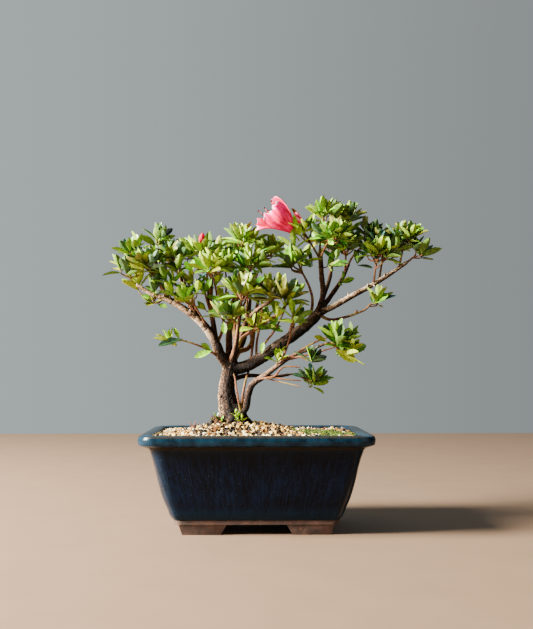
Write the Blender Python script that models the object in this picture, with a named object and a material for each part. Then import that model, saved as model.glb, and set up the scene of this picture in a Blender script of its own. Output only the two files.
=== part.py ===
"""An azalea bonsai with one open bloom, in a glazed rectangular pot on four clay feet.

Metres, +Z up. The pot stands on the plane z = 0 with its long side along X, and the tree is seen from -Y.
Every place below is measured from the middle of the pot's footprint; an empty then shifts the whole tree,
so that the origin lies under the middle of its bounding box.
"""
import math
import random

import bmesh
import bpy
from mathutils import Matrix, Vector, noise
from mathutils.bvhtree import BVHTree

MM = 0.001
GAP = 0.3 * MM                  # clearance between pieces that touch on the real tree
POT_PLACE = Vector((-15.8, -2.7, 0.0)) * MM
UP = Vector((0.0, 0.0, 1.0))

# The pot, by its outer half width at each height. Its depth is smaller by DEPTH_LESS all the way round.
POT_HALF_WIDTH = 100.0 * MM
DEPTH_LESS = 25.0 * MM
RIM_CORNER = 17.0 * MM
CORNER_SHRINK = 0.35            # how much tighter a corner gets for each metre of inset
CORNER_STEPS = 5
GLAZE_BOTTOM = 13.0 * MM
POT_OUTSIDE = [                 # half width, height, from the bottom up to the rim
    (71.5, 13.0), (73.5, 15.5), (76.5, 23.0), (79.8, 31.0), (82.2, 39.0), (84.4, 47.5), (87.2, 60.0),
    (90.0, 69.5), (91.6, 73.6), (96.5, 76.2), (99.4, 77.6), (100.0, 79.5), (100.0, 82.5), (99.2, 84.7),
    (97.3, 85.5),
]
POT_INSIDE = [                  # the same down the inner wall to the floor
    (91.2, 85.5), (89.5, 84.8), (88.8, 83.0), (86.8, 73.0), (82.6, 60.0), (79.4, 46.0), (75.0, 33.0),
    (69.0, 23.0), (64.0, 20.0),
]

# The unglazed base: a slab under the glaze and four tapered feet
SLAB_HALF_WIDTH = 70.8 * MM
SLAB_BOTTOM = 9.0 * MM
FOOT_TOP = (45.6 * MM, 34.0 * MM, 21.4 * MM, 11.5 * MM)       # centre x, centre y, half x, half y
FOOT_BOTTOM = (47.2 * MM, 34.5 * MM, 16.4 * MM, 8.5 * MM)

# The gravel: level at the walls, with a mound round the trunk's foot
GRAVEL_EDGE = 82.4 * MM
MOUND_TOP = 91.8 * MM
MOUND_CENTRE = Vector((-19.0, -1.0)) * MM
MOUND_RADIUS = 19.0 * MM
GRAVEL_RINGS = 7
GRAVEL_CLEAR = 0.75 * MM        # from the pot's inner wall
GRAVEL_WALL = (4, 6, 7)         # places in POT_INSIDE of the levels where its side bends
SIDE_STEPS = (12, 8)            # stretches along its long and its short sides
GRAVEL_LUMP = 2.0 * MM          # how far the raked surface rises and falls
LUMP_SPREAD = 12.0 * MM

# The trunk, from its flat cut on the gravel to the fork: centre line and radii
TRUNK_ROUTE = [(-19, 0, 92.1), (-22.5, 0, 99), (-25.5, 0, 109), (-27, 0, 124), (-24, 0, 140), (-23, 1, 150)]
TRUNK_RADII = [12.8, 10.6, 9.2, 7.1, 7.0, 5.6]
ROOT_LOBES = [(math.radians(176), 0.75), (math.radians(262), 0.28), (math.radians(20), 0.22),
              (math.radians(88), 0.3)]   # bearing of each root ridge and how far it swells the foot
ROOT_SPREAD = math.radians(34)
ROOT_HEIGHT = 11.0 * MM
CUT_HEIGHT = 2.0 * MM           # points this near the ground are levelled for the cut
THICK_LIMB = 2.1                # radius in mm from which a limb's tube has more sides

# Limbs: what carries them and how far along it, then the points beyond, then radius at the root and at the tip
LIMBS = {
    "left_bough": ("trunk", 0.86, [(-32, -3, 153), (-38, -6, 167), (-46, -8, 179), (-65, -12, 195),
                                   (-79, -14, 203), (-95, -15, 209), (-108, -16, 217)], 4.9, 1.2),
    "left_riser": ("left_bough", 0.70, [(-87, -4, 216), (-91, 2, 234)], 1.9, 1.2),
    "left_inner_bough": ("left_bough", 0.36, [(-59, 2, 196), (-67, 8, 212), (-70, 8, 227)], 2.5, 1.4),
    "left_back_bough": ("left_bough", 0.40, [(-60, 18, 203), (-70, 38, 219), (-74, 46, 232)], 2.0, 1.3),
    "rising_stem": ("left_bough", 0.24, [(-39, -5, 181), (-42, -6, 197), (-44, -6, 217)], 2.6, 1.6),
    "centre_bough": ("trunk", 0.93, [(-25, 0, 160), (-25, 0, 172), (-23, 4, 195), (-17, 6, 219),
                                     (-14, 4, 236)], 3.4, 1.3),
    "front_bough": ("trunk", 0.95, [(-18, -20, 164), (-16, -36, 179), (-14, -44, 193)], 2.4, 1.3),
    "centre_right_bough": ("trunk", 0.97, [(-14, -8, 168), (-10, -16, 182), (0, -22, 193),
                                           (12, -26, 201)], 2.7, 1.4),
    "back_bough": ("trunk", 0.92, [(-12, 24, 169), (-8, 42, 196), (-6, 54, 229)], 3.2, 1.5),
    "right_bough": ("trunk", 0.84, [(-12, 0, 143), (4, -4, 151), (20, -8, 163), (36, -11, 175),
                                    (50, -13, 187), (57, -14, 194)], 5.3, 3.9),
    "right_outer_bough": ("right_bough", 0.97, [(70, -15, 198), (86, -14, 207), (101, -12, 215),
                                                (116, -9, 224), (128, -7, 232), (138, -6, 239)], 2.9, 1.5),
    "right_upright": ("right_bough", 0.96, [(60, -12, 208), (59, -10, 226), (58, -8, 247)], 2.7, 2.0),
    "right_fan": ("right_bough", 0.98, [(68, -6, 208), (79, 4, 224), (86, 10, 239)], 2.4, 1.5),
    "right_fan_back": ("right_bough", 0.94, [(63, 6, 211), (70, 24, 229), (73, 36, 248)], 2.2, 1.5),
    "right_back_bough": ("right_bough", 0.62, [(34, 8, 185), (34, 26, 201), (28, 36, 213)], 2.2, 1.4),
    "second_stem": ("trunk", 0.15, [(-10, -9, 106), (-8, -11, 116), (-4, -14, 127), (7, -18, 135),
                                    (20, -24, 145), (32, -28, 153), (49, -32, 159), (60, -34, 163)], 3.0, 1.4),
    "low_back_bough": ("trunk", 0.66, [(-10, 10, 135), (2, 18, 135), (16, 24, 134), (31, 28, 136)], 2.2, 1.3),
}

# Foliage masses: the limb that carries it and how far along, the centre of its space and its three half sizes,
# and how many shoots it has. A few hang on a longer twig, whose bends TWIG_BENDS gives.
MASSES = {
    "foliage_left_tip": ("left_bough", 1.0, (-120, -16, 230), (14, 15, 14), 2),
    "foliage_left_edge": ("left_riser", 0.6, (-115, -2, 249), (13, 14, 12), 2),
    "foliage_left_crest": ("left_riser", 1.0, (-92, 2, 259), (14, 15, 15), 2),
    "foliage_left_front": ("left_riser", 0.8, (-97, -22, 235), (14, 14, 13), 3),
    "foliage_left_shoulder": ("left_inner_bough", 1.0, (-72, 2, 246), (16, 17, 14), 3),
    "foliage_left_low": ("left_inner_bough", 0.7, (-78, -18, 222), (14, 13, 11), 2),
    "foliage_left_back": ("left_back_bough", 1.0, (-84, 50, 250), (21, 24, 17), 5),
    "foliage_bud_tuft": ("rising_stem", 1.0, (-49, -8, 251), (17, 17, 14), 4),
    "foliage_mid_front": ("rising_stem", 0.9, (-38, -31, 232), (18, 17, 14), 4),
    "foliage_mid_back": ("left_back_bough", 0.85, (-42, 46, 251), (20, 23, 16), 5),
    "foliage_top_middle": ("centre_bough", 1.0, (-13, 2, 261), (17, 18, 14), 4),
    "foliage_middle": ("centre_bough", 0.8, (-5, -22, 237), (16, 17, 14), 4),
    "foliage_top_right": ("centre_bough", 0.9, (13, 12, 252), (14, 17, 13), 3),
    "foliage_back_top": ("back_bough", 1.0, (-10, 58, 254), (23, 22, 18), 6),
    "foliage_front_upper": ("front_bough", 1.0, (-12, -50, 209), (16, 18, 14), 5),
    "foliage_front_lower": ("front_bough", 0.75, (-25, -44, 190), (17, 16, 10), 3),
    "foliage_inner_sprig": ("left_bough", 0.33, (-63, -22, 206), (11, 12, 11), 2),
    "foliage_left_under": ("left_bough", 0.80, (-93, -16, 204), (13, 12, 9), 2),
    "foliage_low_left": ("left_bough", 0.06, (-76, -14, 169), (15, 12, 10), 2),
    "foliage_bloom_tuft": ("right_upright", 0.88, (42, -12, 268), (13, 15, 20), 4),
    "foliage_right_top": ("right_upright", 1.0, (64, -4, 284), (15, 16, 14), 4),
    "foliage_right_front": ("right_upright", 0.92, (68, -30, 261), (16, 15, 12), 3),
    "foliage_right_crest": ("right_fan_back", 0.9, (86, 14, 283), (14, 16, 14), 3),
    "foliage_right_inner": ("right_fan", 0.85, (82, -8, 252), (15, 14, 14), 3),
    "foliage_right_rear": ("right_fan_back", 1.0, (76, 52, 269), (22, 22, 18), 6),
    "foliage_right_shoulder": ("right_fan", 1.0, (107, 6, 264), (16, 17, 13), 4),
    "foliage_right_fore": ("right_outer_bough", 0.60, (109, -25, 246), (18, 15, 13), 4),
    "foliage_right_far_rear": ("right_outer_bough", 0.66, (126, 37, 258), (21, 21, 16), 5),
    "foliage_right_edge": ("right_outer_bough", 0.90, (137, -3, 264), (18, 16, 13), 4),
    "foliage_right_tip": ("right_outer_bough", 1.0, (150, -9, 249), (13, 15, 12), 2),
    "foliage_gap_sprig": ("right_bough", 0.86, (35, -18, 237), (19, 14, 15), 3),
    "foliage_mid_right": ("centre_right_bough", 1.0, (21, -30, 207), (20, 16, 14), 5),
    "foliage_mid_rear": ("right_back_bough", 1.0, (18, 44, 219), (18, 20, 14), 4),
    "foliage_mid_low": ("second_stem", 0.62, (32, -36, 187), (12, 13, 13), 2),
    "foliage_low_right": ("right_bough", 0.97, (107, -16, 205), (14, 12, 11), 2),
    "foliage_second_tip": ("second_stem", 1.0, (71, -35, 164), (21, 18, 18), 6),
    "foliage_second_low": ("second_stem", 0.70, (46, -40, 152), (14, 12, 9), 2),
    "foliage_low_rear": ("low_back_bough", 1.0, (52, 31, 131), (15, 15, 13), 3),
    "foliage_rear_low": ("back_bough", 0.45, (2, 54, 187), (18, 19, 14), 4),
}
TWIG_BENDS = {
    "foliage_low_left": [(-43, -8, 158), (-60, -13, 165)],
    "foliage_gap_sprig": [(50, -17, 205), (44, -18, 222)],
    "foliage_mid_low": [(29, -32, 168)],
    "foliage_low_right": [(72, -18, 188), (95, -17, 192)],
    "foliage_inner_sprig": [(-52, -17, 192)],
}

# Twigs and leaves
TWIG_CORNERS = 3
STEM_RADIUS = 1.15 * MM
TWIG_RADII = (0.5 * MM, 0.72 * MM, 1.25 * MM)     # in its stem, at its bend, and at its end
TWIG_STEP = 2.2 * MM            # from one twig to the next along the stem
STEM_LEAST = 5.0 * MM           # least length of a stem before its shoots fan out
HUB_DEPTH = 0.6                 # how deep in its space they do, as a share of its mean half size
STEM_ENTRY = 3.0 * MM           # how far a stem runs on from its limb's tip before it may bend
SHOOT_TILTS = (14.0, 82.0, 59.0)    # degrees off the stem's way: the first shoot, then the others by turns
SHOOT_WAY = (0.62, 0.5, 0.15)   # how much of a shoot's end points outwards, up and along the mass
SHOOT_DROP = 3.0 * MM           # its end lies this much lower, so that its leaves fill the space
SHOOT_LENGTH = 5.5 * MM         # the straight end that carries the leaves
LEAF_LENGTH = 18.0 * MM
LEAF_WIDTH = 9.2 * MM
LEAF_THICK = 1.0 * MM
LEAF_FOLD = 0.6 * MM            # how far its sides rise above its rib
LEAF_SUNK = 0.5 * MM
LEAF_STEP = 1.1 * MM            # from one leaf to the next along its shoot
LEAF_BELLY = 0.08               # how far past its middle a leaf is widest, as a share of its length
LEAF_TILTS = (72.0, 32.0)       # degrees off the shoot's way, of its lowest and its highest leaf
LEAF_WHORLS = (0.0, 38.0, -38.0)    # degrees that each whorl of three is turned
LEAF_TURNS = (0.0, 9.0, -9.0, 16.0, -16.0)      # and then each place that is tried for a leaf
LEAF_SPREAD = (0.85, 1.0)       # shares of the full length
LEAF_ROOM = 9.0 * MM            # how far a shoot's end stays inside the edge of its space
LEAF_REACH = 1.12               # how far past the edge of its space a leaf's tip may be, as a share of it
LEAVES_A_SHOOT = 4
LEAF_CLEAR = 0.5 * MM
FUSED_SHARE = 0.93              # least share of its pieces' area that a fused mass keeps
GOLDEN = math.pi * (3.0 - math.sqrt(5.0))

# The bloom, and its place: from the calyx towards its open mouth
BLOOM_ROOT = Vector((31, -15, 265)) * MM
BLOOM_MOUTH = Vector((13, -19, 281)) * MM
BLOOM_RADII = (1.8 * MM, 9.8 * MM)
LOBES = 5
LOBE_SIZE = (9.0 * MM, 7.0 * MM, 1.4 * MM)      # half length, half width, half thickness
LOBE_FLARE = (0.8, 0.6)         # how much a lobe points outwards and on along the bloom
LOBE_TURN = 0.3                 # the first lobe's bearing
LOBE_SETBACK = (2.2 * MM, 0.13 * MM)    # behind the mouth, and more for each lobe so that no two coincide
BUDS = {                        # mass: place, height, radius
    "foliage_bud_tuft": (Vector((-51.5, -8, 254)) * MM, 11.0 * MM, 3.6 * MM),
    "foliage_bloom_tuft": (Vector((40.5, -5, 272)) * MM, 13.0 * MM, 4.2 * MM),
}


def clear_scene():
    for thing in list(bpy.data.objects):
        bpy.data.objects.remove(thing)


def finish(name, colour, roughness, metallic=0.0, coat=0.0):
    """A plain Principled material."""
    material = bpy.data.materials.new(name)
    material.use_nodes = True
    shader = material.node_tree.nodes["Principled BSDF"]
    shader.inputs["Base Color"].default_value = (*colour, 1.0)
    shader.inputs["Roughness"].default_value = roughness
    shader.inputs["Metallic"].default_value = metallic
    shader.inputs["Coat Weight"].default_value = coat
    material.diffuse_color = (*colour, 1.0)
    return material


def new_collection(name):
    collection = bpy.data.collections.new(name)
    bpy.context.scene.collection.children.link(collection)
    return collection


def add_object(name, mesh, material, collection, smooth=False):
    thing = bpy.data.objects.new(name, mesh)
    mesh.materials.clear()
    if material:
        mesh.materials.append(material)
    if smooth:
        mesh.shade_smooth()
        mesh.set_sharp_from_angle(angle=math.radians(35))
    collection.objects.link(thing)
    return thing


def mesh_from(bm, name):
    mesh = bpy.data.meshes.new(name)
    bm.to_mesh(mesh)
    bm.free()
    return mesh


def points_in_metres(points):
    return [Vector(point) * MM for point in points]


def rounded_rectangle(half_width, half_depth, corner):
    """The outline anticlockwise, with an arc at each corner."""
    outline = []
    for quarter in range(4):
        side_x = 1 if quarter in (0, 3) else -1
        side_y = 1 if quarter in (0, 1) else -1
        centre = Vector((side_x * (half_width - corner), side_y * (half_depth - corner)))
        for step in range(CORNER_STEPS + 1):
            angle = (quarter + step / CORNER_STEPS) * math.pi / 2
            outline.append(centre + corner * Vector((math.cos(angle), math.sin(angle))))
    return outline


def pot_ring(half_width, height, inset=0.0):
    half_width -= inset
    corner = RIM_CORNER - CORNER_SHRINK * (POT_HALF_WIDTH - half_width)
    outline = rounded_rectangle(half_width, half_width - DEPTH_LESS, corner)
    return [Vector((point.x, point.y, height)) for point in outline]


def loft(name, rings):
    """A closed solid through rings of equally many points, capped at both ends."""
    bm = bmesh.new()
    rows = [[bm.verts.new(point) for point in ring] for ring in rings]
    count = len(rings[0])
    for below, above in zip(rows, rows[1:]):
        for i in range(count):
            j = (i + 1) % count
            bm.faces.new((below[i], below[j], above[j], above[i]))
    bm.faces.new(list(reversed(rows[0])))
    bm.faces.new(rows[-1])
    bmesh.ops.recalc_face_normals(bm, faces=bm.faces)
    return mesh_from(bm, name)


def make_pot(material, collection):
    rings = [pot_ring(half * MM, height * MM) for half, height in POT_OUTSIDE + POT_INSIDE]
    return add_object("pot_body", loft("pot_body", rings), material, collection, smooth=True)


def foot_ring(side_x, side_y, size, height):
    centre_x, centre_y, half_x, half_y = size
    return [Vector((side_x * centre_x + half_x * x, side_y * centre_y + half_y * y, height))
            for x, y in ((-1, -1), (1, -1), (1, 1), (-1, 1))]


def make_base(material, collection, scratch):
    """The slab under the glaze with its four feet fused on."""
    top = GLAZE_BOTTOM - GAP
    corner = RIM_CORNER - CORNER_SHRINK * (POT_HALF_WIDTH - SLAB_HALF_WIDTH)
    outline = rounded_rectangle(SLAB_HALF_WIDTH, SLAB_HALF_WIDTH - DEPTH_LESS, corner)
    rings = [[Vector((p.x, p.y, height)) for p in outline] for height in (SLAB_BOTTOM, top)]
    base = add_object("pot_base", loft("pot_base", rings), material, collection)
    for side_x in (-1, 1):
        for side_y in (-1, 1):
            levels = [foot_ring(side_x, side_y, FOOT_BOTTOM, 0.0),
                      foot_ring(side_x, side_y, FOOT_TOP, SLAB_BOTTOM),
                      foot_ring(side_x, side_y, FOOT_TOP, SLAB_BOTTOM + 2 * MM)]
            add_object("foot", loft("foot", levels), None, scratch)
    fuse(base, scratch)
    return base


def inner_half_width(height):
    """The pot's inner half width at a height."""
    for (upper, top), (lower, bottom) in zip(POT_INSIDE, POT_INSIDE[1:]):
        if bottom * MM <= height <= top * MM:
            share = (height - bottom * MM) / (top * MM - bottom * MM)
            return (lower + (upper - lower) * share) * MM
    return POT_INSIDE[-1][0] * MM


def gravel_ring(floor, height):
    """The pot's inner outline at a level, a little inside it, with points added along its straight sides."""
    corners = pot_ring(inner_half_width(floor), height, inset=GRAVEL_CLEAR)
    ring = []
    for i, point in enumerate(corners):
        ring.append(point)
        if i % (CORNER_STEPS + 1) == CORNER_STEPS:
            steps = SIDE_STEPS[i // (CORNER_STEPS + 1) % 2]
            after = corners[(i + 1) % len(corners)]
            ring += [point.lerp(after, step / steps) for step in range(1, steps)]
    return ring


def make_gravel(material, collection):
    """The pot's filling: it follows the inner wall up, then rises in uneven rings to the mound's flat top."""
    floor = POT_INSIDE[-1][1] * MM
    rings = [gravel_ring(floor, floor + GAP)]
    for level in reversed(GRAVEL_WALL):
        height = POT_INSIDE[level][1] * MM
        rings.append(gravel_ring(height, height))
    edge = gravel_ring(GRAVEL_EDGE, GRAVEL_EDGE)
    rings.append(edge)
    for ring in range(1, GRAVEL_RINGS + 1):
        share = ring / GRAVEL_RINGS
        rise = share ** 3 * (3.0 - 2.0 * share)
        level = []
        for point in edge:
            bearing = math.atan2(point.y - MOUND_CENTRE.y, point.x - MOUND_CENTRE.x)
            mound = MOUND_CENTRE + MOUND_RADIUS * Vector((math.cos(bearing), math.sin(bearing)))
            flat = point.to_2d().lerp(mound, share)
            height = GRAVEL_EDGE + (MOUND_TOP - GRAVEL_EDGE) * rise
            if ring < GRAVEL_RINGS:
                lump = noise.noise(Vector((flat.x, flat.y, 0.0)) / LUMP_SPREAD)
                height = min(height + GRAVEL_LUMP * lump, MOUND_TOP)
            level.append(Vector((flat.x, flat.y, height)))
        rings.append(level)
    return add_object("gravel", loft("gravel", rings), material, collection)


def smooth_route(points, spacing=10.0 * MM):
    """Points read from a smooth curve through the given ones, about spacing apart."""
    padded = [2 * points[0] - points[1]] + points + [2 * points[-1] - points[-2]]
    route = []
    for before, start, end, after in zip(padded, padded[1:], padded[2:], padded[3:]):
        steps = max(1, round((end - start).length / spacing))
        for step in range(steps):
            t = step / steps
            route.append(0.5 * (2 * start + (end - before) * t
                                + (2 * before - 5 * start + 4 * end - after) * t ** 2
                                + (3 * start - before - 3 * end + after) * t ** 3))
    route.append(points[-1].copy())
    return route


class Limb:
    """A centre line and the radius at each of its points."""

    def __init__(self, route, radii):
        self.route = route
        self.radii = radii
        self.reach = [0.0]
        for start, end in zip(route, route[1:]):
            self.reach.append(self.reach[-1] + (end - start).length)

    def at(self, share):
        """The point, radius and direction a share of the way along."""
        goal = share * self.reach[-1]
        for i in range(len(self.route) - 1):
            if goal <= self.reach[i + 1] or i == len(self.route) - 2:
                t = (goal - self.reach[i]) / (self.reach[i + 1] - self.reach[i])
                direction = (self.route[i + 1] - self.route[i]).normalized()
                return (self.route[i].lerp(self.route[i + 1], t),
                        self.radii[i] + (self.radii[i + 1] - self.radii[i]) * t, direction)


def tapering(route, root_radius, tip_radius):
    """Radii that fall evenly along a route."""
    limb = Limb(route, [0.0] * len(route))
    total = limb.reach[-1]
    return Limb(route, [root_radius + (tip_radius - root_radius) * reach / total for reach in limb.reach])


def tube_mesh(limb, name, resolution, grow=0.0):
    """A round tube along a limb, from a curve with a bevel, its caps welded."""
    curve = bpy.data.curves.new(name, "CURVE")
    curve.dimensions = "3D"
    curve.bevel_depth = MM
    curve.bevel_resolution = resolution
    curve.use_fill_caps = True
    curve.twist_mode = "MINIMUM"
    spline = curve.splines.new("POLY")
    spline.points.add(len(limb.route) - 1)
    for point, place, radius in zip(spline.points, limb.route, limb.radii):
        point.co = (*place, 1.0)
        point.radius = (radius + grow) / MM
    holder = bpy.data.objects.new(name, curve)
    bpy.context.scene.collection.objects.link(holder)
    mesh = bpy.data.meshes.new_from_object(holder.evaluated_get(bpy.context.evaluated_depsgraph_get()))
    bpy.data.objects.remove(holder)
    bm = bmesh.new()
    bm.from_mesh(mesh)
    bmesh.ops.remove_doubles(bm, verts=bm.verts, dist=0.01 * MM)
    bmesh.ops.recalc_face_normals(bm, faces=bm.faces)
    bm.to_mesh(mesh)
    bm.free()
    return mesh


def spread_roots(mesh):
    """Swells the trunk's foot into root ridges and levels its cut."""
    ground = TRUNK_ROUTE[0][2] * MM
    middle = Vector(TRUNK_ROUTE[0]) * MM
    for vertex in mesh.vertices:
        height = max(0.0, vertex.co.z - ground)
        fade = max(0.0, 1.0 - height / ROOT_HEIGHT) ** 2
        offset = vertex.co - middle
        bearing = math.atan2(offset.y, offset.x)
        swell = 0.0
        for lobe, size in ROOT_LOBES:
            turn = (bearing - lobe + math.pi) % (2 * math.pi) - math.pi
            swell += size * math.exp(-(turn / ROOT_SPREAD) ** 2)
        if fade > 0.0:
            vertex.co.x += offset.x * swell * fade
            vertex.co.y += offset.y * swell * fade
        if vertex.co.z < ground + CUT_HEIGHT:
            vertex.co.z = ground


def bodies_of(bm):
    """The mesh's separate bodies, each as a list of faces."""
    left = set(bm.faces)
    bodies = []
    while left:
        body = [left.pop()]
        for face in body:
            for edge in face.edges:
                for other in edge.link_faces:
                    if other in left:
                        left.remove(other)
                        body.append(other)
        bodies.append(body)
    return bodies


def keep_largest(mesh):
    """Drops loose scraps, and fills a sealed hollow by dropping its walls.

    Points halfway along an edge go too, as both their faces would be split along one line. Returns whether
    the rest is closed, and its area.
    """
    bm = bmesh.new()
    bm.from_mesh(mesh)
    bmesh.ops.dissolve_verts(bm, verts=[vertex for vertex in bm.verts if len(vertex.link_edges) == 2])
    bmesh.ops.triangulate(bm, faces=bm.faces)
    bodies = sorted(bodies_of(bm), key=lambda body: sum(face.calc_area() for face in body))
    scraps = [face for body in bodies[:-1] for face in body]
    bmesh.ops.delete(bm, geom=scraps, context="FACES")
    closed = all(len(edge.link_faces) == 2 for edge in bm.edges)
    area = sum(face.calc_area() for face in bm.faces)
    bm.to_mesh(mesh)
    bm.free()
    return closed, area


def apply_boolean(thing, operation, solver, cutter=None, collection=None):
    modifier = thing.modifiers.new("shape", "BOOLEAN")
    modifier.operation = operation
    modifier.solver = solver
    if collection:
        modifier.operand_type = "COLLECTION"
        modifier.collection = collection
    else:
        modifier.object = cutter
    seen = thing.evaluated_get(bpy.context.evaluated_depsgraph_get())
    mesh = bpy.data.meshes.new_from_object(seen)
    thing.modifiers.remove(modifier)
    return mesh


def shape_by(thing, operation, cutter=None, collection=None, least_area=0.0):
    """One Boolean by EXACT, or by MANIFOLD where that isn't closed or loses part of the shape."""
    best = None
    for solver in ("EXACT", "MANIFOLD"):
        mesh = apply_boolean(thing, operation, solver, cutter, collection)
        if not len(mesh.polygons):
            continue
        closed, area = keep_largest(mesh)
        if closed and (best is None or area > best[0]):
            best = (area, mesh)
        if closed and area >= least_area:
            break
    if best:
        thing.data = best[1]
    return best


def fuse(thing, collection):
    """Joins a collection's objects to a thing, and removes them."""
    pieces = [thing.data] + [part.data for part in collection.objects]
    whole = sum(face.area for mesh in pieces for face in mesh.polygons)
    best = shape_by(thing, "UNION", collection=collection, least_area=FUSED_SHARE * whole)
    print(thing.name, "keeps", round(best[0] / whole, 2) if best else "nothing", "of its area")
    for part in list(collection.objects):
        bpy.data.objects.remove(part)


def near(first, second, margin=2.0 * MM):
    """Whether two meshes' boxes come close."""
    for axis in range(3):
        one = [vertex.co[axis] for vertex in first.vertices]
        two = [vertex.co[axis] for vertex in second.vertices]
        if min(one) > max(two) + margin or min(two) > max(one) + margin:
            return False
    return True


def make_limbs(material, collection, cutters):
    """The trunk and every limb, each cut clear of the ones before it."""
    limbs = {"trunk": Limb(points_in_metres(TRUNK_ROUTE), [radius * MM for radius in TRUNK_RADII])}
    plans = [("trunk", 4)]
    for name, (carrier, share, points, root_radius, tip_radius) in LIMBS.items():
        start = limbs[carrier].at(share)[0]
        route = smooth_route([start] + points_in_metres(points))
        limbs[name] = tapering(route, root_radius * MM, tip_radius * MM)
        plans.append((name, 2 if root_radius > THICK_LIMB else 1))
    for name, resolution in plans:
        mesh = tube_mesh(limbs[name], name, resolution)
        cutter_mesh = tube_mesh(limbs[name], name + "_cutter", resolution, grow=GAP * 1.15)
        if name == "trunk":
            spread_roots(mesh)
            spread_roots(cutter_mesh)
        limb = add_object(name, mesh, material, collection, smooth=True)
        for cutter in list(cutters.objects):
            if near(limb.data, cutter.data):
                shape_by(limb, "DIFFERENCE", cutter=cutter)
        cutter = add_object(name + "_cutter", cutter_mesh, None, cutters)
        cutter.hide_render = True
        cutter.display_type = "WIRE"
    return limbs


def turned_to(direction, place, roll=0.0):
    """The matrix that turns +Z to a direction and moves there."""
    turn = direction.to_track_quat("Z", "Y").to_matrix().to_4x4()
    return Matrix.Translation(place) @ turn @ Matrix.Rotation(roll, 4, "Z")


def carried(frame, old, new):
    """A frame turned the shortest way from one direction to another."""
    return old.rotation_difference(new).to_matrix() @ frame


def twig_mesh(points, radii, frame):
    """A three-sided tube through points. The frame is its last stretch's, whose Z runs along it."""
    ways = [(after - before).normalized() for before, after in zip(points, points[1:])]
    rings = []
    facing = ways[-1]
    for i in reversed(range(len(points))):
        way = (ways[min(i, len(ways) - 1)] + ways[max(i - 1, 0)]).normalized()
        frame = carried(frame, facing, way)
        facing = way
        corners = [2 * math.pi * corner / TWIG_CORNERS for corner in range(TWIG_CORNERS)]
        rings.append([points[i] + frame @ Vector((math.cos(a), math.sin(a), 0.0)) * radii[i] for a in corners])
    return loft("twig", rings)


def leaf_mesh(root, direction, face, length, grow=0.0):
    """A leaf of eight faces: a pointed blade, folded a little along its rib."""
    bm = bmesh.new()
    bmesh.ops.create_uvsphere(bm, u_segments=4, v_segments=2, radius=1.0)
    across = face.cross(direction).normalized()
    upper = direction.cross(across).normalized()
    width = LEAF_WIDTH * length / LEAF_LENGTH / 2 + grow
    for vertex in bm.verts:
        x, y, z = vertex.co
        vertex.co = (root + direction * length * (z * 0.5 + 0.5 + LEAF_BELLY * (1 - abs(z)))
                     + across * width * x + upper * ((LEAF_THICK / 2 + grow) * y + LEAF_FOLD * abs(x)))
    return mesh_from(bm, "leaf")


def leaning(axis, tilt, bearing, roll=0.0):
    """The direction that leans out from an axis by a tilt, on a bearing round it."""
    local = Vector((math.sin(tilt) * math.cos(bearing), math.sin(tilt) * math.sin(bearing), math.cos(tilt)))
    return turned_to(axis, Vector(), roll).to_3x3() @ local


def grow_shoots(root, centre, sizes, count, rng):
    """The rule of a mass: a stem runs from its root to a hub, and shoots fan out from there.

    Returns the hub and, for each shoot, its end and the way it points. The first shoot runs on along the
    stem, and the rest lean out round it a golden angle apart.
    """
    outward = (centre - root).normalized()
    axis = (outward + UP).normalized()
    room = Vector([max(size - LEAF_ROOM, 1.2 * MM) for size in sizes])
    away = (centre - root).length - HUB_DEPTH * sum(sizes) / 3
    hub = root + outward * max(away, STEM_LEAST)
    phase = rng.uniform(0, 2 * math.pi)
    shoots = []
    for i in range(count):
        tilt = SHOOT_TILTS[0 if i == 0 else 2 - i % 2]
        direction = leaning(axis, math.radians(tilt), phase + i * GOLDEN)
        end = centre + Vector([a * b for a, b in zip(direction, room)]) - UP * SHOOT_DROP
        way = (direction * SHOOT_WAY[0] + UP * SHOOT_WAY[1] + axis * SHOOT_WAY[2]).normalized()
        shoots.append((end, way))
    return hub, shoots


def grow_leaf(shoot, place, attempt, rng):
    """One leaf of the rosette at a shoot's end: its root, direction, upper face and length.

    The leaves stand in whorls of three, each on a face of the three-sided shoot, the upper ones steeper.
    """
    share = place / (LEAVES_A_SHOOT - 1)
    tilt = math.radians(LEAF_TILTS[0] + (LEAF_TILTS[1] - LEAF_TILTS[0]) * share) * rng.uniform(0.9, 1.1)
    bearing = math.radians(60 + 120 * place + LEAF_WHORLS[place // 3] + LEAF_TURNS[attempt])
    direction = leaning(shoot.way, tilt, bearing, shoot.roll)
    length = LEAF_LENGTH * rng.uniform(*LEAF_SPREAD) * (1.0 - 0.1 * share) * (1.0 - 0.07 * attempt)
    root = shoot.end - shoot.way * LEAF_STEP * (LEAVES_A_SHOOT - place - 0.4) - direction * LEAF_SUNK
    return root, direction, shoot.way, length


def tree_of(mesh):
    """A mesh's faces, ready for overlap tests."""
    return BVHTree.FromPolygons([vertex.co for vertex in mesh.vertices],
                                [tuple(face.vertices) for face in mesh.polygons])


def hits(mesh, trees):
    own = tree_of(mesh)
    return any(own.overlap(other) for other in trees)


def inside(point, centre, sizes):
    return sum(((a - b) / c) ** 2 for a, b, c in zip(point, centre, sizes)) <= LEAF_REACH ** 2


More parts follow.
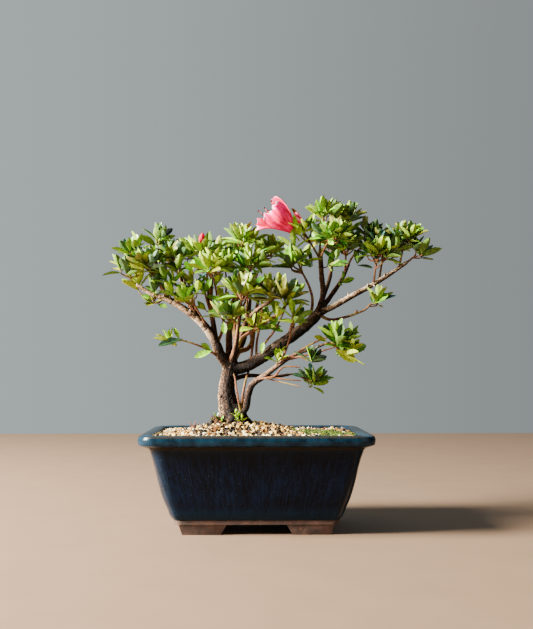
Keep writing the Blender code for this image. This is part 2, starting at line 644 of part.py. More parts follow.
def bloom_meshes():
    """The bloom: a trumpet with five rounded lobes at its mouth."""
    along = BLOOM_MOUTH - BLOOM_ROOT
    axis = along.normalized()
    bm = bmesh.new()
    bmesh.ops.create_cone(bm, cap_ends=True, cap_tris=True, segments=8, radius1=BLOOM_RADII[0],
                          radius2=BLOOM_RADII[1], depth=along.length,
                          matrix=turned_to(axis, (BLOOM_ROOT + BLOOM_MOUTH) / 2))
    meshes = [mesh_from(bm, "trumpet")]
    half_length, half_width, half_thick = LOBE_SIZE
    for i in range(LOBES):
        outward = leaning(axis, math.pi / 2, 2 * math.pi * i / LOBES + LOBE_TURN)
        way = (outward * LOBE_FLARE[0] + axis * LOBE_FLARE[1]).normalized()
        root = BLOOM_MOUTH + outward * BLOOM_RADII[1] / 2 - axis * (LOBE_SETBACK[0] + LOBE_SETBACK[1] * i)
        across = axis.cross(way).normalized()
        upper = way.cross(across).normalized()
        bm = bmesh.new()
        bmesh.ops.create_uvsphere(bm, u_segments=5, v_segments=4, radius=1.0)
        for vertex in bm.verts:
            x, y, z = vertex.co
            vertex.co = (root + way * half_length * (z + 0.75) + across * half_width * x
                         + upper * half_thick * y)
        meshes.append(mesh_from(bm, "lobe"))
    return meshes


def bud_mesh(place, height, radius):
    bm = bmesh.new()
    bmesh.ops.create_uvsphere(bm, u_segments=5, v_segments=4, radius=1.0)
    for vertex in bm.verts:
        vertex.co = place + Vector((vertex.co.x * radius, vertex.co.y * radius, vertex.co.z * height / 2))
    return mesh_from(bm, "bud")


class Shoot:
    """A twig through points, which carries leaves on its straight end."""

    def __init__(self, points, radii, roll):
        self.points = points
        self.radii = radii
        self.roll = roll
        self.end = points[-1]
        self.way = (points[-1] - points[-2]).normalized()

    def mesh(self, grow=0.0):
        frame = turned_to(self.way, Vector(), self.roll).to_3x3()
        return twig_mesh(self.points, [radius + grow for radius in self.radii], frame)


class Mass:
    """One mass of foliage: its space, its shoots, and the leaves and blossom that found room."""

    def __init__(self, name, limbs, number):
        carrier, share, centre, sizes, count = MASSES[name]
        self.name = name
        self.at_tip = share == 1.0
        self.rng = random.Random(number)
        self.centre = Vector(centre) * MM
        self.sizes = Vector(sizes) * MM
        self.leaves = []
        place, _, direction = limbs[carrier].at(share)
        stem = [place]
        if self.at_tip:
            stem = [place + direction * GAP, place + direction * STEM_ENTRY]
        stem += points_in_metres(TWIG_BENDS.get(name, []))
        hub, ends = grow_shoots(stem[-1], self.centre, self.sizes, count, self.rng)
        down = stem[-1] - hub
        step = min(TWIG_STEP, 0.8 * down.length / len(ends))
        self.shoots = []
        for i, (end, way) in enumerate(ends):
            bend = end - way * SHOOT_LENGTH
            start = [hub + down.normalized() * step * i]
            radii = TWIG_RADII
            if i == 0:
                start = stem + [hub]
                radii = (STEM_RADIUS,) * len(stem) + (TWIG_RADII[1] + 0.1 * MM,) + TWIG_RADII[1:]
            self.shoots.append(Shoot(start + [bend, end], radii, self.rng.uniform(0, 2 * math.pi)))
        self.blossom = []
        if name == "foliage_bloom_tuft":
            self.blossom += bloom_meshes()
            self.add_stalk(hub, BLOOM_ROOT + (BLOOM_MOUTH - BLOOM_ROOT) * 0.12)
        if name in BUDS:
            place, height, radius = BUDS[name]
            self.blossom.append(bud_mesh(place, height, radius))
            self.add_stalk(hub, place - UP * height * 0.3)

    def add_stalk(self, start, end):
        stalk = Shoot([start, start.lerp(end, 0.5) + UP * 1.0 * MM, end], TWIG_RADII, 0.4)
        self.blossom.append(stalk.mesh())


def plan_shoots(masses, limb_trees):
    """Keeps the shoots that stay clear of every limb and of the other masses' twigs."""
    taken = {mass.name: [tree_of(mesh) for mesh in [mass.shoots[0].mesh()] + mass.blossom]
             for mass in masses}
    for mass in masses:
        others = [tree for name, trees in taken.items() if name != mass.name for tree in trees]
        mass.shoots = mass.shoots[:1] + [shoot for shoot in mass.shoots[1:]
                                         if not hits(shoot.mesh(grow=LEAF_CLEAR), others + limb_trees)]
        taken[mass.name] += [tree_of(shoot.mesh()) for shoot in mass.shoots[1:]]
    return taken


def plan_leaves(masses, limb_trees, taken):
    """Adds leaves shoot by shoot, skipping each that would leave its space or touch another piece."""
    for mass in masses:
        others = [tree for name, trees in taken.items() if name != mass.name for tree in trees]
        others += [tree_of(mesh) for mesh in mass.blossom] + limb_trees
        for shoot in mass.shoots:
            rosette = []
            near_twigs = [tree_of(other.mesh()) for other in mass.shoots if other != shoot]
            for place in range(LEAVES_A_SHOOT):
                for attempt in range(len(LEAF_TURNS)):
                    leaf = grow_leaf(shoot, place, attempt, mass.rng)
                    tip = leaf[0] + leaf[1] * leaf[3]
                    if not inside(tip, mass.centre, mass.sizes):
                        continue
                    if not hits(leaf_mesh(*leaf, grow=LEAF_CLEAR), others + near_twigs):
                        rosette.append(leaf_mesh(*leaf))
                        break
            mass.leaves += rosette
            others += [tree_of(mesh) for mesh in rosette]
        taken[mass.name] += [tree_of(mesh) for mesh in mass.leaves]


def make_masses(limbs, material, collection, cutters, scratch):
    """Every foliage mass, fused from its twigs, leaves and blossom, and cut clear of the limbs near it."""
    masses = [Mass(name, limbs, number) for number, name in enumerate(MASSES)]
    limb_trees = [tree_of(cutter.data) for cutter in cutters.objects]
    taken = plan_shoots(masses, limb_trees)
    plan_leaves(masses, limb_trees, taken)
    for mass in masses:
        thing = add_object(mass.name, mass.shoots[0].mesh(), material, collection)
        for mesh in [shoot.mesh() for shoot in mass.shoots[1:]] + mass.leaves + mass.blossom:
            add_object("piece", mesh, None, scratch)
        fuse(thing, scratch)
        if not mass.at_tip:
            for cutter in cutters.objects:
                if near(thing.data, cutter.data, margin=0.0):
                    shape_by(thing, "DIFFERENCE", cutter=cutter)
        thing.data.materials.clear()
        thing.data.materials.append(material)
        print(mass.name, len(mass.shoots), "shoots,", len(mass.leaves), "leaves,",
              len(thing.data.polygons), "faces")


def main():
    clear_scene()
    parts = new_collection("azalea_bonsai")
    cutters = new_collection("cutters")
    scratch = new_collection("scratch")
    glaze = finish("blue_glaze", (0.015, 0.06, 0.12), 0.12, coat=0.5)
    clay = finish("bare_clay", (0.30, 0.17, 0.13), 0.75)
    stones = finish("gravel", (0.55, 0.42, 0.28), 0.85)
    bark = finish("bark", (0.20, 0.13, 0.10), 0.85)
    leaf = finish("leaf", (0.13, 0.27, 0.04), 0.4)
    make_pot(glaze, parts)
    make_base(clay, parts, scratch)
    make_gravel(stones, parts)
    limbs = make_limbs(bark, parts, cutters)
    make_masses(limbs, leaf, parts, cutters, scratch)
    bpy.data.collections.remove(scratch)
    holder = bpy.data.objects.new("azalea_place", None)
    holder.location = POT_PLACE
    parts.objects.link(holder)
    for thing in list(parts.objects) + list(cutters.objects):
        if thing != holder:
            thing.parent = holder


main()
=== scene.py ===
# %% [markdown]
# # An azalea bonsai in a blue glazed pot
# This lesson dresses a plain solid model of the tree with what the eye expects of the real one: a glaze that
# breaks brown over its edges, gravel, cracked bark, twigs that fork down to rosettes of leaves, and one open
# bloom. The solid model is loaded first and stays as it is, and every new piece takes its place from it.
# Sizes are in millimetres from the middle of the pot's footprint, and the tree is seen from -Y.

import math
import random

import bmesh
import bpy
import numpy as np
from mathutils import Matrix, Vector, noise
from mathutils.bvhtree import BVHTree
from mathutils.kdtree import KDTree


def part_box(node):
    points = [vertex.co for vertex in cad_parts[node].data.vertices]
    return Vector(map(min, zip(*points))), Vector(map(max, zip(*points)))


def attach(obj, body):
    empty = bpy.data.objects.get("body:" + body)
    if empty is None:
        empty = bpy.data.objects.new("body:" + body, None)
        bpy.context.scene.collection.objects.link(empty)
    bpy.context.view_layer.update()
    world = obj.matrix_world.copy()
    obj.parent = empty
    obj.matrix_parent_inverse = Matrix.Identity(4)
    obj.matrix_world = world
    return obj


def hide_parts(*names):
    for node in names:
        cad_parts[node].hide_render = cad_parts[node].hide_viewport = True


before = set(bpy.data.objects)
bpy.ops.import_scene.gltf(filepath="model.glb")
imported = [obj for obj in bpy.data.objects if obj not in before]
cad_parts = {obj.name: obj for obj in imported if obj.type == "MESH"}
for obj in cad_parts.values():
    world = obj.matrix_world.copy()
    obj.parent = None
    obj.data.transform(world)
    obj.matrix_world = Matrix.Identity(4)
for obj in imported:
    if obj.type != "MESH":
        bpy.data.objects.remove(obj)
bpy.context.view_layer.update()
MM = 0.001
UP = Vector((0.0, 0.0, 1.0))
POT_LOW, POT_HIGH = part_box("pot_body")
POT_MIDDLE = Vector(((POT_LOW.x + POT_HIGH.x) / 2, (POT_LOW.y + POT_HIGH.y) / 2, 0.0))


def spot(x, y, z):
    """A place given in millimetres from the middle of the pot's footprint."""
    return POT_MIDDLE + Vector((x, y, z)) * MM


# %% [markdown]
# ## Helpers for modelling as by hand
# Blender's operators act on whatever is selected, and the loaded solids arrive selected. So each step first
# selects one piece, or picks faces and edges by their place, and only then calls the operator.

# %% Select, pick and finish a piece


def only(thing):
    """Selects one object, and nothing else."""
    bpy.ops.object.select_all(action="DESELECT")
    thing.select_set(True)
    bpy.context.view_layer.objects.active = thing
    return thing


def pick(kind, test):
    """In edit mode, selects the vertices, edges or faces that pass a test, and nothing else."""
    bpy.ops.mesh.select_mode(type=kind)
    bpy.ops.mesh.select_all(action="DESELECT")
    mesh = bmesh.from_edit_mesh(bpy.context.object.data)
    for element in {"VERT": mesh.verts, "EDGE": mesh.edges, "FACE": mesh.faces}[kind]:
        if test(element):
            element.select = True
    mesh.select_flush_mode()
    bmesh.update_edit_mesh(bpy.context.object.data)


def pick_all():
    bpy.ops.mesh.select_all(action="SELECT")


def open_piece(thing):
    """Goes into a piece's edit mode with nothing selected."""
    only(thing)
    bpy.ops.object.mode_set(mode="EDIT")
    bpy.ops.mesh.select_all(action="DESELECT")


def close_piece():
    bpy.ops.object.mode_set(mode="OBJECT")


def close_outward(merge=0.0):
    """Merges points nearer than merge, turns every face outward and leaves edit mode."""
    pick_all()
    if merge:
        bpy.ops.mesh.remove_doubles(threshold=merge)
    bpy.ops.mesh.normals_make_consistent(inside=False)
    close_piece()


def smooth(thing, degrees):
    """Smooth shading, apart from edges that turn by more than so many degrees."""
    only(thing)
    bpy.ops.object.shade_smooth_by_angle(angle=math.radians(degrees))
    return thing


def mark_points(thing, **marks):
    """Gives each point of a mesh numbers that its finish reads by their names."""
    for name, values in marks.items():
        thing.data.attributes.new(name, "FLOAT", "POINT").data.foreach_set("value", values)


def apply_modifier(thing, kind, **settings):
    """Adds a modifier with its settings and applies it."""
    only(thing)
    modifier = thing.modifiers.new(kind.lower(), kind)
    for name, value in settings.items():
        setattr(modifier, name, value)
    bpy.ops.object.modifier_apply(modifier=modifier.name)


def join(things):
    """Joins pieces into the first of them."""
    bpy.ops.object.select_all(action="DESELECT")
    for thing in things:
        thing.select_set(True)
    bpy.context.view_layer.objects.active = things[0]
    bpy.ops.object.join()
    return things[0]


def settle(thing):
    """Puts a piece's place, turn and size into its mesh, so that its object sits at the origin."""
    only(thing)
    bpy.ops.object.transform_apply(location=True, rotation=True, scale=True)


def deliver(thing, name, slot, finishes, *nodes):
    """Names a finished piece, gives it its finishes and lets it ride with the tree, in place of solids."""
    settle(thing)
    thing.name = name
    thing.data.name = name
    for finish in finishes:
        thing.data.materials.append(finish)
    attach(thing, "root")
    if nodes:
        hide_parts(*nodes)
    triangles = sum(len(face.vertices) - 2 for face in thing.data.polygons)
    print(name, "has", triangles, "triangles")


# %% [markdown]
# ## Helpers for finishes
# A finish is a graph of nodes, but its sums read better as Python. So one small class wraps a node's socket
# and turns + - * / into Math nodes, and another keeps the graph and adds every other kind of node by one
# method: settings first, then the values or links of its sockets. The room's light is a graph too.

# %% Sockets with operators, graphs and finishes


def paint(red, green, blue):
    """A colour as a picture editor gives it, from 0 to 255, made linear for the shader."""
    shares = [value / 255 for value in (red, green, blue)]
    linear = [s / 12.92 if s <= 0.04045 else ((s + 0.055) / 1.055) ** 2.4 for s in shares]
    return (*linear, 1.0)


class Value:
    """One socket of a graph. An expression on it adds the Math nodes that work it out."""

    def __init__(self, graph, socket):
        self.graph = graph
        self.socket = socket

    def __add__(self, other):
        return self.graph.maths("ADD", self, other)

    def __sub__(self, other):
        return self.graph.maths("SUBTRACT", self, other)

    def __rsub__(self, other):
        return self.graph.maths("SUBTRACT", other, self)

    def __mul__(self, other):
        return self.graph.maths("MULTIPLY", self, other)

    __radd__ = __add__
    __rmul__ = __mul__


class Graph:
    """A tree of nodes."""

    def __init__(self, tree):
        self.tree = tree

    def add(self, kind, settings=None, inputs=None, output=0):
        """Adds a node: its settings, then the values or links of its sockets. Gives one of its outputs."""
        node = self.tree.nodes.new(kind)
        for name, value in (settings or {}).items():
            if name == "stops":
                self.set_stops(node.color_ramp, value)
            else:
                setattr(node, name, value)
        for name, value in (inputs or {}).items():
            self.feed(node.inputs[name], value)
        return Value(self, node.outputs[output])

    def feed(self, socket, value):
        if isinstance(value, Value):
            self.tree.links.new(value.socket, socket)
        else:
            socket.default_value = value

    @staticmethod
    def set_stops(ramp, stops):
        while len(ramp.elements) < len(stops):
            ramp.elements.new(0.5)
        for element, (position, colour) in zip(ramp.elements, stops):
            element.position = position
            element.color = colour

    def maths(self, operation, first, second=0.0):
        return self.add("ShaderNodeMath", {"operation": operation}, {0: first, 1: second})

    def axis(self, vector, letter):
        return self.add("ShaderNodeSeparateXYZ", None, {0: vector}, letter)

    def grain(self, vector, scale, detail=3.0, roughness=0.5):
        """Noise around a half, with scale bumps to the millimetre."""
        return self.add("ShaderNodeTexNoise", None, {"Vector": vector, "Scale": scale, "Detail": detail,
                                                     "Roughness": roughness})

    def fade(self, value, low, high):
        """Rises smoothly from 0 to 1 as the value goes from low to high."""
        return self.add("ShaderNodeMapRange", {"interpolation_type": "SMOOTHSTEP"},
                        {"Value": value, "From Min": low, "From Max": high})

    def mix(self, share, first, second):
        """Goes from the first colour to the second as the share rises. Each is a node's or an editor's."""
        ends = [colour if isinstance(colour, Value) else paint(*colour) for colour in (first, second)]
        return self.add("ShaderNodeMix", {"data_type": "RGBA"}, {0: share, 6: ends[0], 7: ends[1]}, 2)

    def ramp(self, share, *stops):
        """A colour that passes through stops, each a share and a colour."""
        painted = [(position, paint(*colour)) for position, colour in stops]
        return self.add("ShaderNodeValToRGB", {"stops": painted}, {0: share})


class Finish(Graph):
    """A material in the making, on Blender's Principled shader."""

    def __init__(self, name, fixed):
        self.material = bpy.data.materials.new(name)
        self.material.use_nodes = True
        super().__init__(self.material.node_tree)
        self.shader = self.tree.nodes["Principled BSDF"]
        for socket, value in fixed.items():
            self.shader.inputs[socket].default_value = value

    def where(self, stretch=(1.0, 1.0, 1.0)):
        """The piece's own coordinates in millimetres from the pot's middle, each axis times its stretch."""
        here = self.add("ShaderNodeTexCoord", output="Object")
        scale = [share / MM for share in stretch]
        shift = [-a * b for a, b in zip(POT_MIDDLE, scale)]
        return self.add("ShaderNodeMapping", None, {"Vector": here, "Location": shift, "Scale": scale})

    def mark(self, name):
        """A number that the mesh itself holds at each of its points."""
        return self.add("ShaderNodeAttribute", {"attribute_name": name}, None, "Fac")

    def bump(self, height, depth):
        """Relief of a depth in millimetres, for the shader's Normal."""
        return self.add("ShaderNodeBump", None, {"Height": height, "Distance": depth * MM})

    def put(self, **sockets):
        """Feeds the shader's sockets, such as Base_Color, and gives the finished material."""
        for name, value in sockets.items():
            self.feed(self.shader.inputs[name.replace("_", " ")], value)
        return self.material


# %% [markdown]
# ## Camera, light and floor
# The photograph was taken from a little above the rim, near enough to look slightly up at the crown. Its
# horizon and the column where level lines meet give the camera's tilt and turn. Daylight comes through a
# window high on the left, so one soft lamp stands there, with a weak one opposite. The room is a pale grey
# that is lighter towards the window and darker behind the camera, which keeps the glaze dark from the front.

# %% Camera
FRAME_WIDTH, FRAME_HEIGHT = 533, 629    # the photograph, in its own pixels
FOCAL_LENGTH = 870.0                    # the same
HORIZON_ROW = 371.0
LEVEL_COLUMN = 250.0
SENSOR = 36.0
bpy.ops.object.camera_add(location=spot(-5.9, -795.0, 139.4))
camera = bpy.context.object
camera.name = "camera"
camera.data.sensor_fit = "HORIZONTAL"
camera.data.sensor_width = SENSOR
camera.data.lens = SENSOR * FOCAL_LENGTH / FRAME_WIDTH
tilt = math.atan((HORIZON_ROW - FRAME_HEIGHT / 2) / FOCAL_LENGTH)
turn = math.atan((FRAME_WIDTH / 2 - LEVEL_COLUMN) / FOCAL_LENGTH)
camera.rotation_euler = (math.pi / 2 + tilt, 0.0, -turn)
bpy.context.scene.camera = camera
print("the lens is", round(camera.data.lens, 1), "mm")

# %% Room and lamps
ROOM_LIGHT, ROOM_SHADE = (194, 205, 205), (150, 156, 158)      # its colour towards the window, and away
ROOM_STRENGTH = 0.84
ROOM_DARK_SHARE = 0.10          # what is left of it behind the camera and away from the window
CEILING_EXTRA = 0.3
room = bpy.data.worlds.new("room")
room.use_nodes = True
air = Graph(room.node_tree)
way = air.add("ShaderNodeTexCoord", output="Generated")
behind_camera = air.fade(air.axis(way, "Y"), 0.3, -0.5)
ceiling = air.fade(air.axis(way, "Z"), 0.35, 0.9)
away_from_window = air.fade(air.axis(way, "X"), 0.35, 0.75)
backdrop = room.node_tree.nodes["Background"]
air.feed(backdrop.inputs["Color"], air.mix(air.fade(air.axis(way, "X"), -0.45, 0.45), ROOM_LIGHT, ROOM_SHADE))
air.feed(backdrop.inputs["Strength"],
         (1 - air.maths("MAXIMUM", behind_camera, away_from_window) * (1 - ROOM_DARK_SHARE)
          + ceiling * CEILING_EXTRA) * ROOM_STRENGTH)
bpy.context.scene.world = room


def add_lamp(name, place, aim, size, power, colour):
    bpy.ops.object.light_add(type="AREA", location=place)
    lamp = bpy.context.object
    lamp.name = name
    lamp.data.shape = "RECTANGLE"
    lamp.data.size, lamp.data.size_y = size
    lamp.data.energy = power
    lamp.data.color = paint(*colour)[:3]
    lamp.rotation_euler = (aim - place).to_track_quat("-Z", "Y").to_euler()


TREE_MIDDLE = spot(0, 0, 170)
add_lamp("window", spot(-1500, -420, 860), TREE_MIDDLE, (0.5, 0.7), 430.0, (255, 248, 234))
add_lamp("far_wall", spot(1300, -900, 600), TREE_MIDDLE, (1.2, 1.0), 6.0, (235, 242, 255))

# %% Floor
FLOOR_SIZE = 24.0
FLOOR_BACK = 1.161              # where the pale floor ends behind the tree, in metres
bpy.ops.mesh.primitive_plane_add(size=FLOOR_SIZE, location=(0.0, FLOOR_BACK - FLOOR_SIZE / 2, 0.0))
floor = bpy.context.object
settle(floor)
floor.name = "floor"
floor_finish = Finish("pale_floor", {"Roughness": 0.75})
speckle = floor_finish.grain(floor_finish.where(), 0.02, detail=5.0)
floor.data.materials.append(floor_finish.put(
    Base_Color=floor_finish.mix(speckle, (104, 82, 62), (115, 92, 71))))

# %% [markdown]
# ## The glazed pot
# The pot was pressed in a mould: a rounded rectangle that leans out as it rises, turns out into a thick lip,
# and drops down inside. By hand it is one plane with bevelled corners, pulled up level by level, so that its
# rings stay whole and the lip can be rounder than the walls. Each new ring is laid on the same outline that
# the solid model has, with smaller steps.

# %% The pot's sizes
POT_HALF_WIDTH = (POT_HIGH.x - POT_LOW.x) / 2 / MM
DEPTH_LESS = POT_HALF_WIDTH - (POT_HIGH.y - POT_LOW.y) / 2 / MM
RIM_CORNER = 17.0
CORNER_SHRINK = 0.35            # how much tighter a corner gets for each millimetre of inset
CORNER_STEPS = 9
RING_SPACING = 3                # from one ring to the next, along the profile
POT_PROFILE = [                 # half width and height, up the outside, over the lip and down inside
    (71.5, 13.0), (73.5, 15.5), (76.5, 23.0), (79.8, 31.0), (82.2, 39.0), (84.4, 47.5), (87.2, 60.0),
    (90.0, 69.5), (91.6, 73.6), (96.5, 76.2), (99.4, 77.6), (100.0, 79.5), (100.0, 82.5), (99.2, 84.7),
    (97.3, 85.5), (91.2, 85.5), (89.5, 84.8), (88.8, 83.0), (86.8, 73.0), (82.6, 60.0), (79.4, 46.0),
    (75.0, 33.0), (69.0, 23.0), (64.0, 20.0),
]


def pot_outline(half_width, height):
    """The pot's rounded rectangle at a level, anticlockwise, in metres round the pot's own middle."""
    corner = RIM_CORNER - CORNER_SHRINK * (POT_HALF_WIDTH - half_width)
    outline = []
    for quarter in range(4):
        side_x = 1 if quarter in (0, 3) else -1
        side_y = 1 if quarter in (0, 1) else -1
        for step in range(CORNER_STEPS + 1):
            angle = (quarter + step / CORNER_STEPS) * math.pi / 2
            x = side_x * (half_width - corner) + corner * math.cos(angle)
            y = side_y * (half_width - DEPTH_LESS - corner) + corner * math.sin(angle)
            outline.append(Vector((x, y, height)) * MM)
    return outline


def smooth_route(points, spacing):
    """Points on a smooth curve through the given ones, about spacing apart."""
    padded = [2 * points[0] - points[1]] + points + [2 * points[-1] - points[-2]]
    ways = []
    for before, here, after in zip(padded, padded[1:], padded[2:]):
        back, ahead = (here - before).length, (after - here).length
        ways.append(((here - before) * (ahead / back) + (after - here) * (back / ahead)) / (back + ahead))
    route = []
    for start, end, way_in, way_out in zip(points, points[1:], ways, ways[1:]):
        length = (end - start).length
        steps = max(1, round(length / spacing))
        for step in range(steps):
            t = step / steps
            rise = t * t * (3 - 2 * t)
            route.append(start.lerp(end, rise) + way_in * length * t * (1 - t) ** 2
                         - way_out * length * t * t * (1 - t))
    return route + [points[-1].copy()]


# %% Pull the pot up ring by ring


def lay_ring(outline):
    """Moves the selected ring of vertices onto an outline of as many points, matched by their bearing."""
    mesh = bmesh.from_edit_mesh(bpy.context.object.data)
    ring = sorted((v for v in mesh.verts if v.select), key=lambda v: math.atan2(v.co.y, v.co.x))
    for vertex, point in zip(ring, sorted(outline, key=lambda p: math.atan2(p.y, p.x))):
        vertex.co = point
    bmesh.update_edit_mesh(bpy.context.object.data)


def pull_up(levels):
    """A piece pulled up from a plane with rounded corners, with a ring of the outline at every level."""
    bpy.ops.mesh.primitive_plane_add(size=POT_HALF_WIDTH * MM)
    thing = bpy.context.object
    open_piece(thing)
    pick_all()
    bpy.ops.mesh.bevel(affect="VERTICES", offset=RIM_CORNER * MM / 2, segments=CORNER_STEPS)
    lay_ring(pot_outline(*levels[0]))
    for half_width, height in levels[1:]:
        bpy.ops.mesh.extrude_region_move(TRANSFORM_OT_translate={"value": (0.0, 0.0, MM)})
        lay_ring(pot_outline(half_width, height))
    close_outward()
    return thing


def make_pot():
    pot = pull_up(smooth_route([Vector((half, height)) for half, height in POT_PROFILE], RING_SPACING))
    smooth(pot, 40)
    pot.location = POT_MIDDLE
    return pot


# %% [markdown]
# The glaze is a deep navy that ran down while it melted. It left fine streaks on the walls, pooled teal along
# the foot and on the lip, broke to turquoise where it thinned over the corners, and to olive brown along the
# lip's edges. All of that follows height and the corners, so the finish reads the pot's own coordinates.

# %% The glaze


def glaze_finish():
    glaze = Finish("blue_glaze", {"Coat Roughness": 0.05, "Specular IOR Level": 0.08})
    here = glaze.where()
    height = glaze.axis(here, "Z")
    across = glaze.maths("ABSOLUTE", glaze.axis(here, "X"))
    along = glaze.maths("ABSOLUTE", glaze.axis(here, "Y"))
    drift = glaze.grain(here, 0.05, detail=4.0)
    uneven = height + (drift - 0.5) * 6.0
    half = 66.5 + height * 0.335                # the wall's half width at that height
    down = glaze.add("ShaderNodeCombineXYZ", None, {
        "X": glaze.maths("DIVIDE", glaze.axis(here, "X"), half) * 80.0,
        "Y": glaze.maths("DIVIDE", glaze.axis(here, "Y"), half - DEPTH_LESS) * 55.0,
        "Z": height * 0.05})
    streaks = glaze.grain(down, 0.8, detail=5.0, roughness=0.62)
    fleck = glaze.fade(glaze.grain(here, 1.15, detail=1.0), 0.715, 0.76)
    wall = glaze.mix(glaze.fade(streaks, 0.34, 0.76), (2, 5, 11), (8, 20, 40))
    clouds = glaze.fade(glaze.grain(here, 0.045) + (50.0 - height) * 0.006, 0.45, 0.7)
    wall = glaze.mix(clouds * streaks * 0.42, wall, (6, 24, 48))
    pooled = glaze.fade(uneven, 26.0, 14.0)
    wall = glaze.mix(pooled * 0.5, wall, (6, 34, 48))
    high = glaze.fade(uneven, 60.0, 74.0)
    wall = glaze.mix(high * 0.3, wall, (16, 30, 40))
    rounding = glaze.maths("MINIMUM", across - half + 9.0, along - half + 9.0 + DEPTH_LESS)
    speck = glaze.fade(glaze.grain(here, 1.5, detail=5.0, roughness=0.75), 0.40, 0.62)
    broken = glaze.mix(speck, (8, 22, 38), (48, 60, 70))
    edge = glaze.fade(rounding + (drift - 0.5) * 1.5, -1.0, 4.6)
    wall = glaze.mix(edge * 0.22, wall, broken)
    behind = along - half + DEPTH_LESS
    turn = glaze.fade(across - half, -3.4, -1.0) * glaze.fade(behind, -15.0, -11.0)
    cloudy = glaze.fade(glaze.grain(here, 0.12, detail=5.0), 0.35, 0.65)
    lip_blue = glaze.mix(cloudy, (5, 17, 26), (14, 36, 50))
    lip = glaze.mix(glaze.fade(rounding, -2.0, 4.5) * speck * 0.2, lip_blue, (48, 92, 120))
    colour = glaze.mix(glaze.fade(height, 74.0, 77.5), wall, lip)
    ragged = height + (glaze.grain(here, 0.35, detail=4.0) - 0.5) * 1.6
    under_lip = glaze.fade(ragged, 73.4, 74.6) * glaze.fade(ragged, 77.2, 75.6)
    outermost = glaze.maths("MAXIMUM", across - POT_HALF_WIDTH, along - (POT_HALF_WIDTH - DEPTH_LESS))
    top_edge = glaze.fade(ragged, 83.7, 84.5) * glaze.fade(outermost, -3.6, -2.6)
    rim = glaze.maths("MAXIMUM", under_lip, top_edge * 0.8)
    colour = glaze.mix(rim * 0.85, colour, (36, 28, 13))
    colour = glaze.mix(fleck * 0.14, colour, (110, 130, 140))
    pits = glaze.grain(here, 1.6, detail=2.0)
    ripple = glaze.grain(here, 0.09, detail=2.0)
    relief = ripple + pits * 0.05 + streaks * 0.12
    thick = glaze.fade(height, 75.0, 77.5)
    return glaze.put(Base_Color=colour, Roughness=0.26 + rim * 0.3 + fleck * 0.3,
                     Coat_Weight=thick * 0.10 + turn * (1 - thick) * 0.8 + 0.02,
                     Normal=glaze.bump(relief, 0.55))


deliver(make_pot(), "glazed_pot", "glaze", [glaze_finish()], "pot_body")

# %% [markdown]
# ## The bare foot
# Under the glaze is the bare clay: a slab the shape of the pot's floor and four feet, cut with a wire so that
# they taper. Each foot starts as a cube whose lower face is drawn in, and is then fused to the slab, so that
# the bevel runs round the joint as a thumb would leave it.

# %% The clay base
SLAB_HALF_WIDTH = 70.8
SLAB_BOTTOM = 9.0
SLAB_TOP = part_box("pot_base")[1].z / MM
FOOT_SUNK = 2.0                 # how far a foot reaches up into the slab
FOOT_TOP = (45.6, 34.0, 21.4, 11.5)         # centre x, centre y, half x, half y
FOOT_BOTTOM = (47.2, 34.5, 16.4, 8.5)
EDGE_ROUND = 0.7


def make_foot(side_x, side_y):
    centre_x, centre_y, half_x, half_y = FOOT_TOP
    height = SLAB_BOTTOM + FOOT_SUNK
    centre = Vector((side_x * centre_x, side_y * centre_y, height / 2)) * MM
    bpy.ops.mesh.primitive_cube_add(size=1.0, location=centre)
    foot = bpy.context.object
    foot.scale = Vector((2 * half_x, 2 * half_y, height)) * MM
    settle(foot)
    open_piece(foot)
    pick("FACE", lambda face: face.normal.z < -0.5)
    shift = Vector((side_x * (FOOT_BOTTOM[0] - centre_x), side_y * (FOOT_BOTTOM[1] - centre_y), 0.0)) * MM
    bpy.ops.transform.resize(value=(FOOT_BOTTOM[2] / half_x, FOOT_BOTTOM[3] / half_y, 1.0))
    bpy.ops.transform.translate(value=shift)
    close_piece()
    return foot


def make_base():
    base = pull_up([(SLAB_HALF_WIDTH, SLAB_BOTTOM), (SLAB_HALF_WIDTH, SLAB_TOP)])
    for side_x in (-1, 1):
        for side_y in (-1, 1):
            foot = make_foot(side_x, side_y)
            apply_modifier(base, "BOOLEAN", operation="UNION", object=foot)
            bpy.data.objects.remove(foot)
    apply_modifier(base, "BEVEL", width=EDGE_ROUND * MM, segments=3, limit_method="ANGLE",
                   angle_limit=math.radians(25))
    smooth(base, 35)
    base.location = POT_MIDDLE
    return base


def clay_finish():
    clay = Finish("bare_clay", {})
    here = clay.where()
    stain = clay.grain(here, 0.09, detail=5.0, roughness=0.6)
    grog = clay.grain(here, 1.9, detail=2.0)
    colour = clay.mix(clay.fade(stain, 0.35, 0.68), (42, 27, 21), (78, 52, 41))
    colour = clay.mix(clay.fade(grog, 0.60, 0.70) * 0.55, colour, (136, 108, 88))
    colour = clay.mix(clay.fade(grog, 0.36, 0.28) * 0.6, colour, (52, 36, 30))
    rust = clay.fade(clay.grain(here, 0.21), 0.62, 0.72)
    colour = clay.mix(rust * 0.45, colour, (124, 72, 48))
    return clay.put(Base_Color=colour, Roughness=0.72 + stain * 0.2,
                    Normal=clay.bump(grog + stain * 2.0, 0.25))


deliver(make_base(), "clay_foot", "clay", [clay_finish()], "pot_base")

# %% [markdown]
# ## Gravel
# The pot is filled with angular grit in cream, tan, rust and grey, heaped a little against the trunk. A few
# different stones are enough: each is a ball that cutting planes chip flat. Thousands of turned and sized
# copies then lie on a rough bed, which follows the surface of the solid gravel.

# %% Copies of a modelled shape


def shape_of(thing):
    """A modelled shape's points, faces and each face's finish number. The shape itself is then removed."""
    settle(thing)
    points = np.array([vertex.co for vertex in thing.data.vertices])
    faces = [tuple(face.vertices) for face in thing.data.polygons]
    marks = [face.material_index for face in thing.data.polygons]
    bpy.data.objects.remove(thing)
    return points, faces, marks


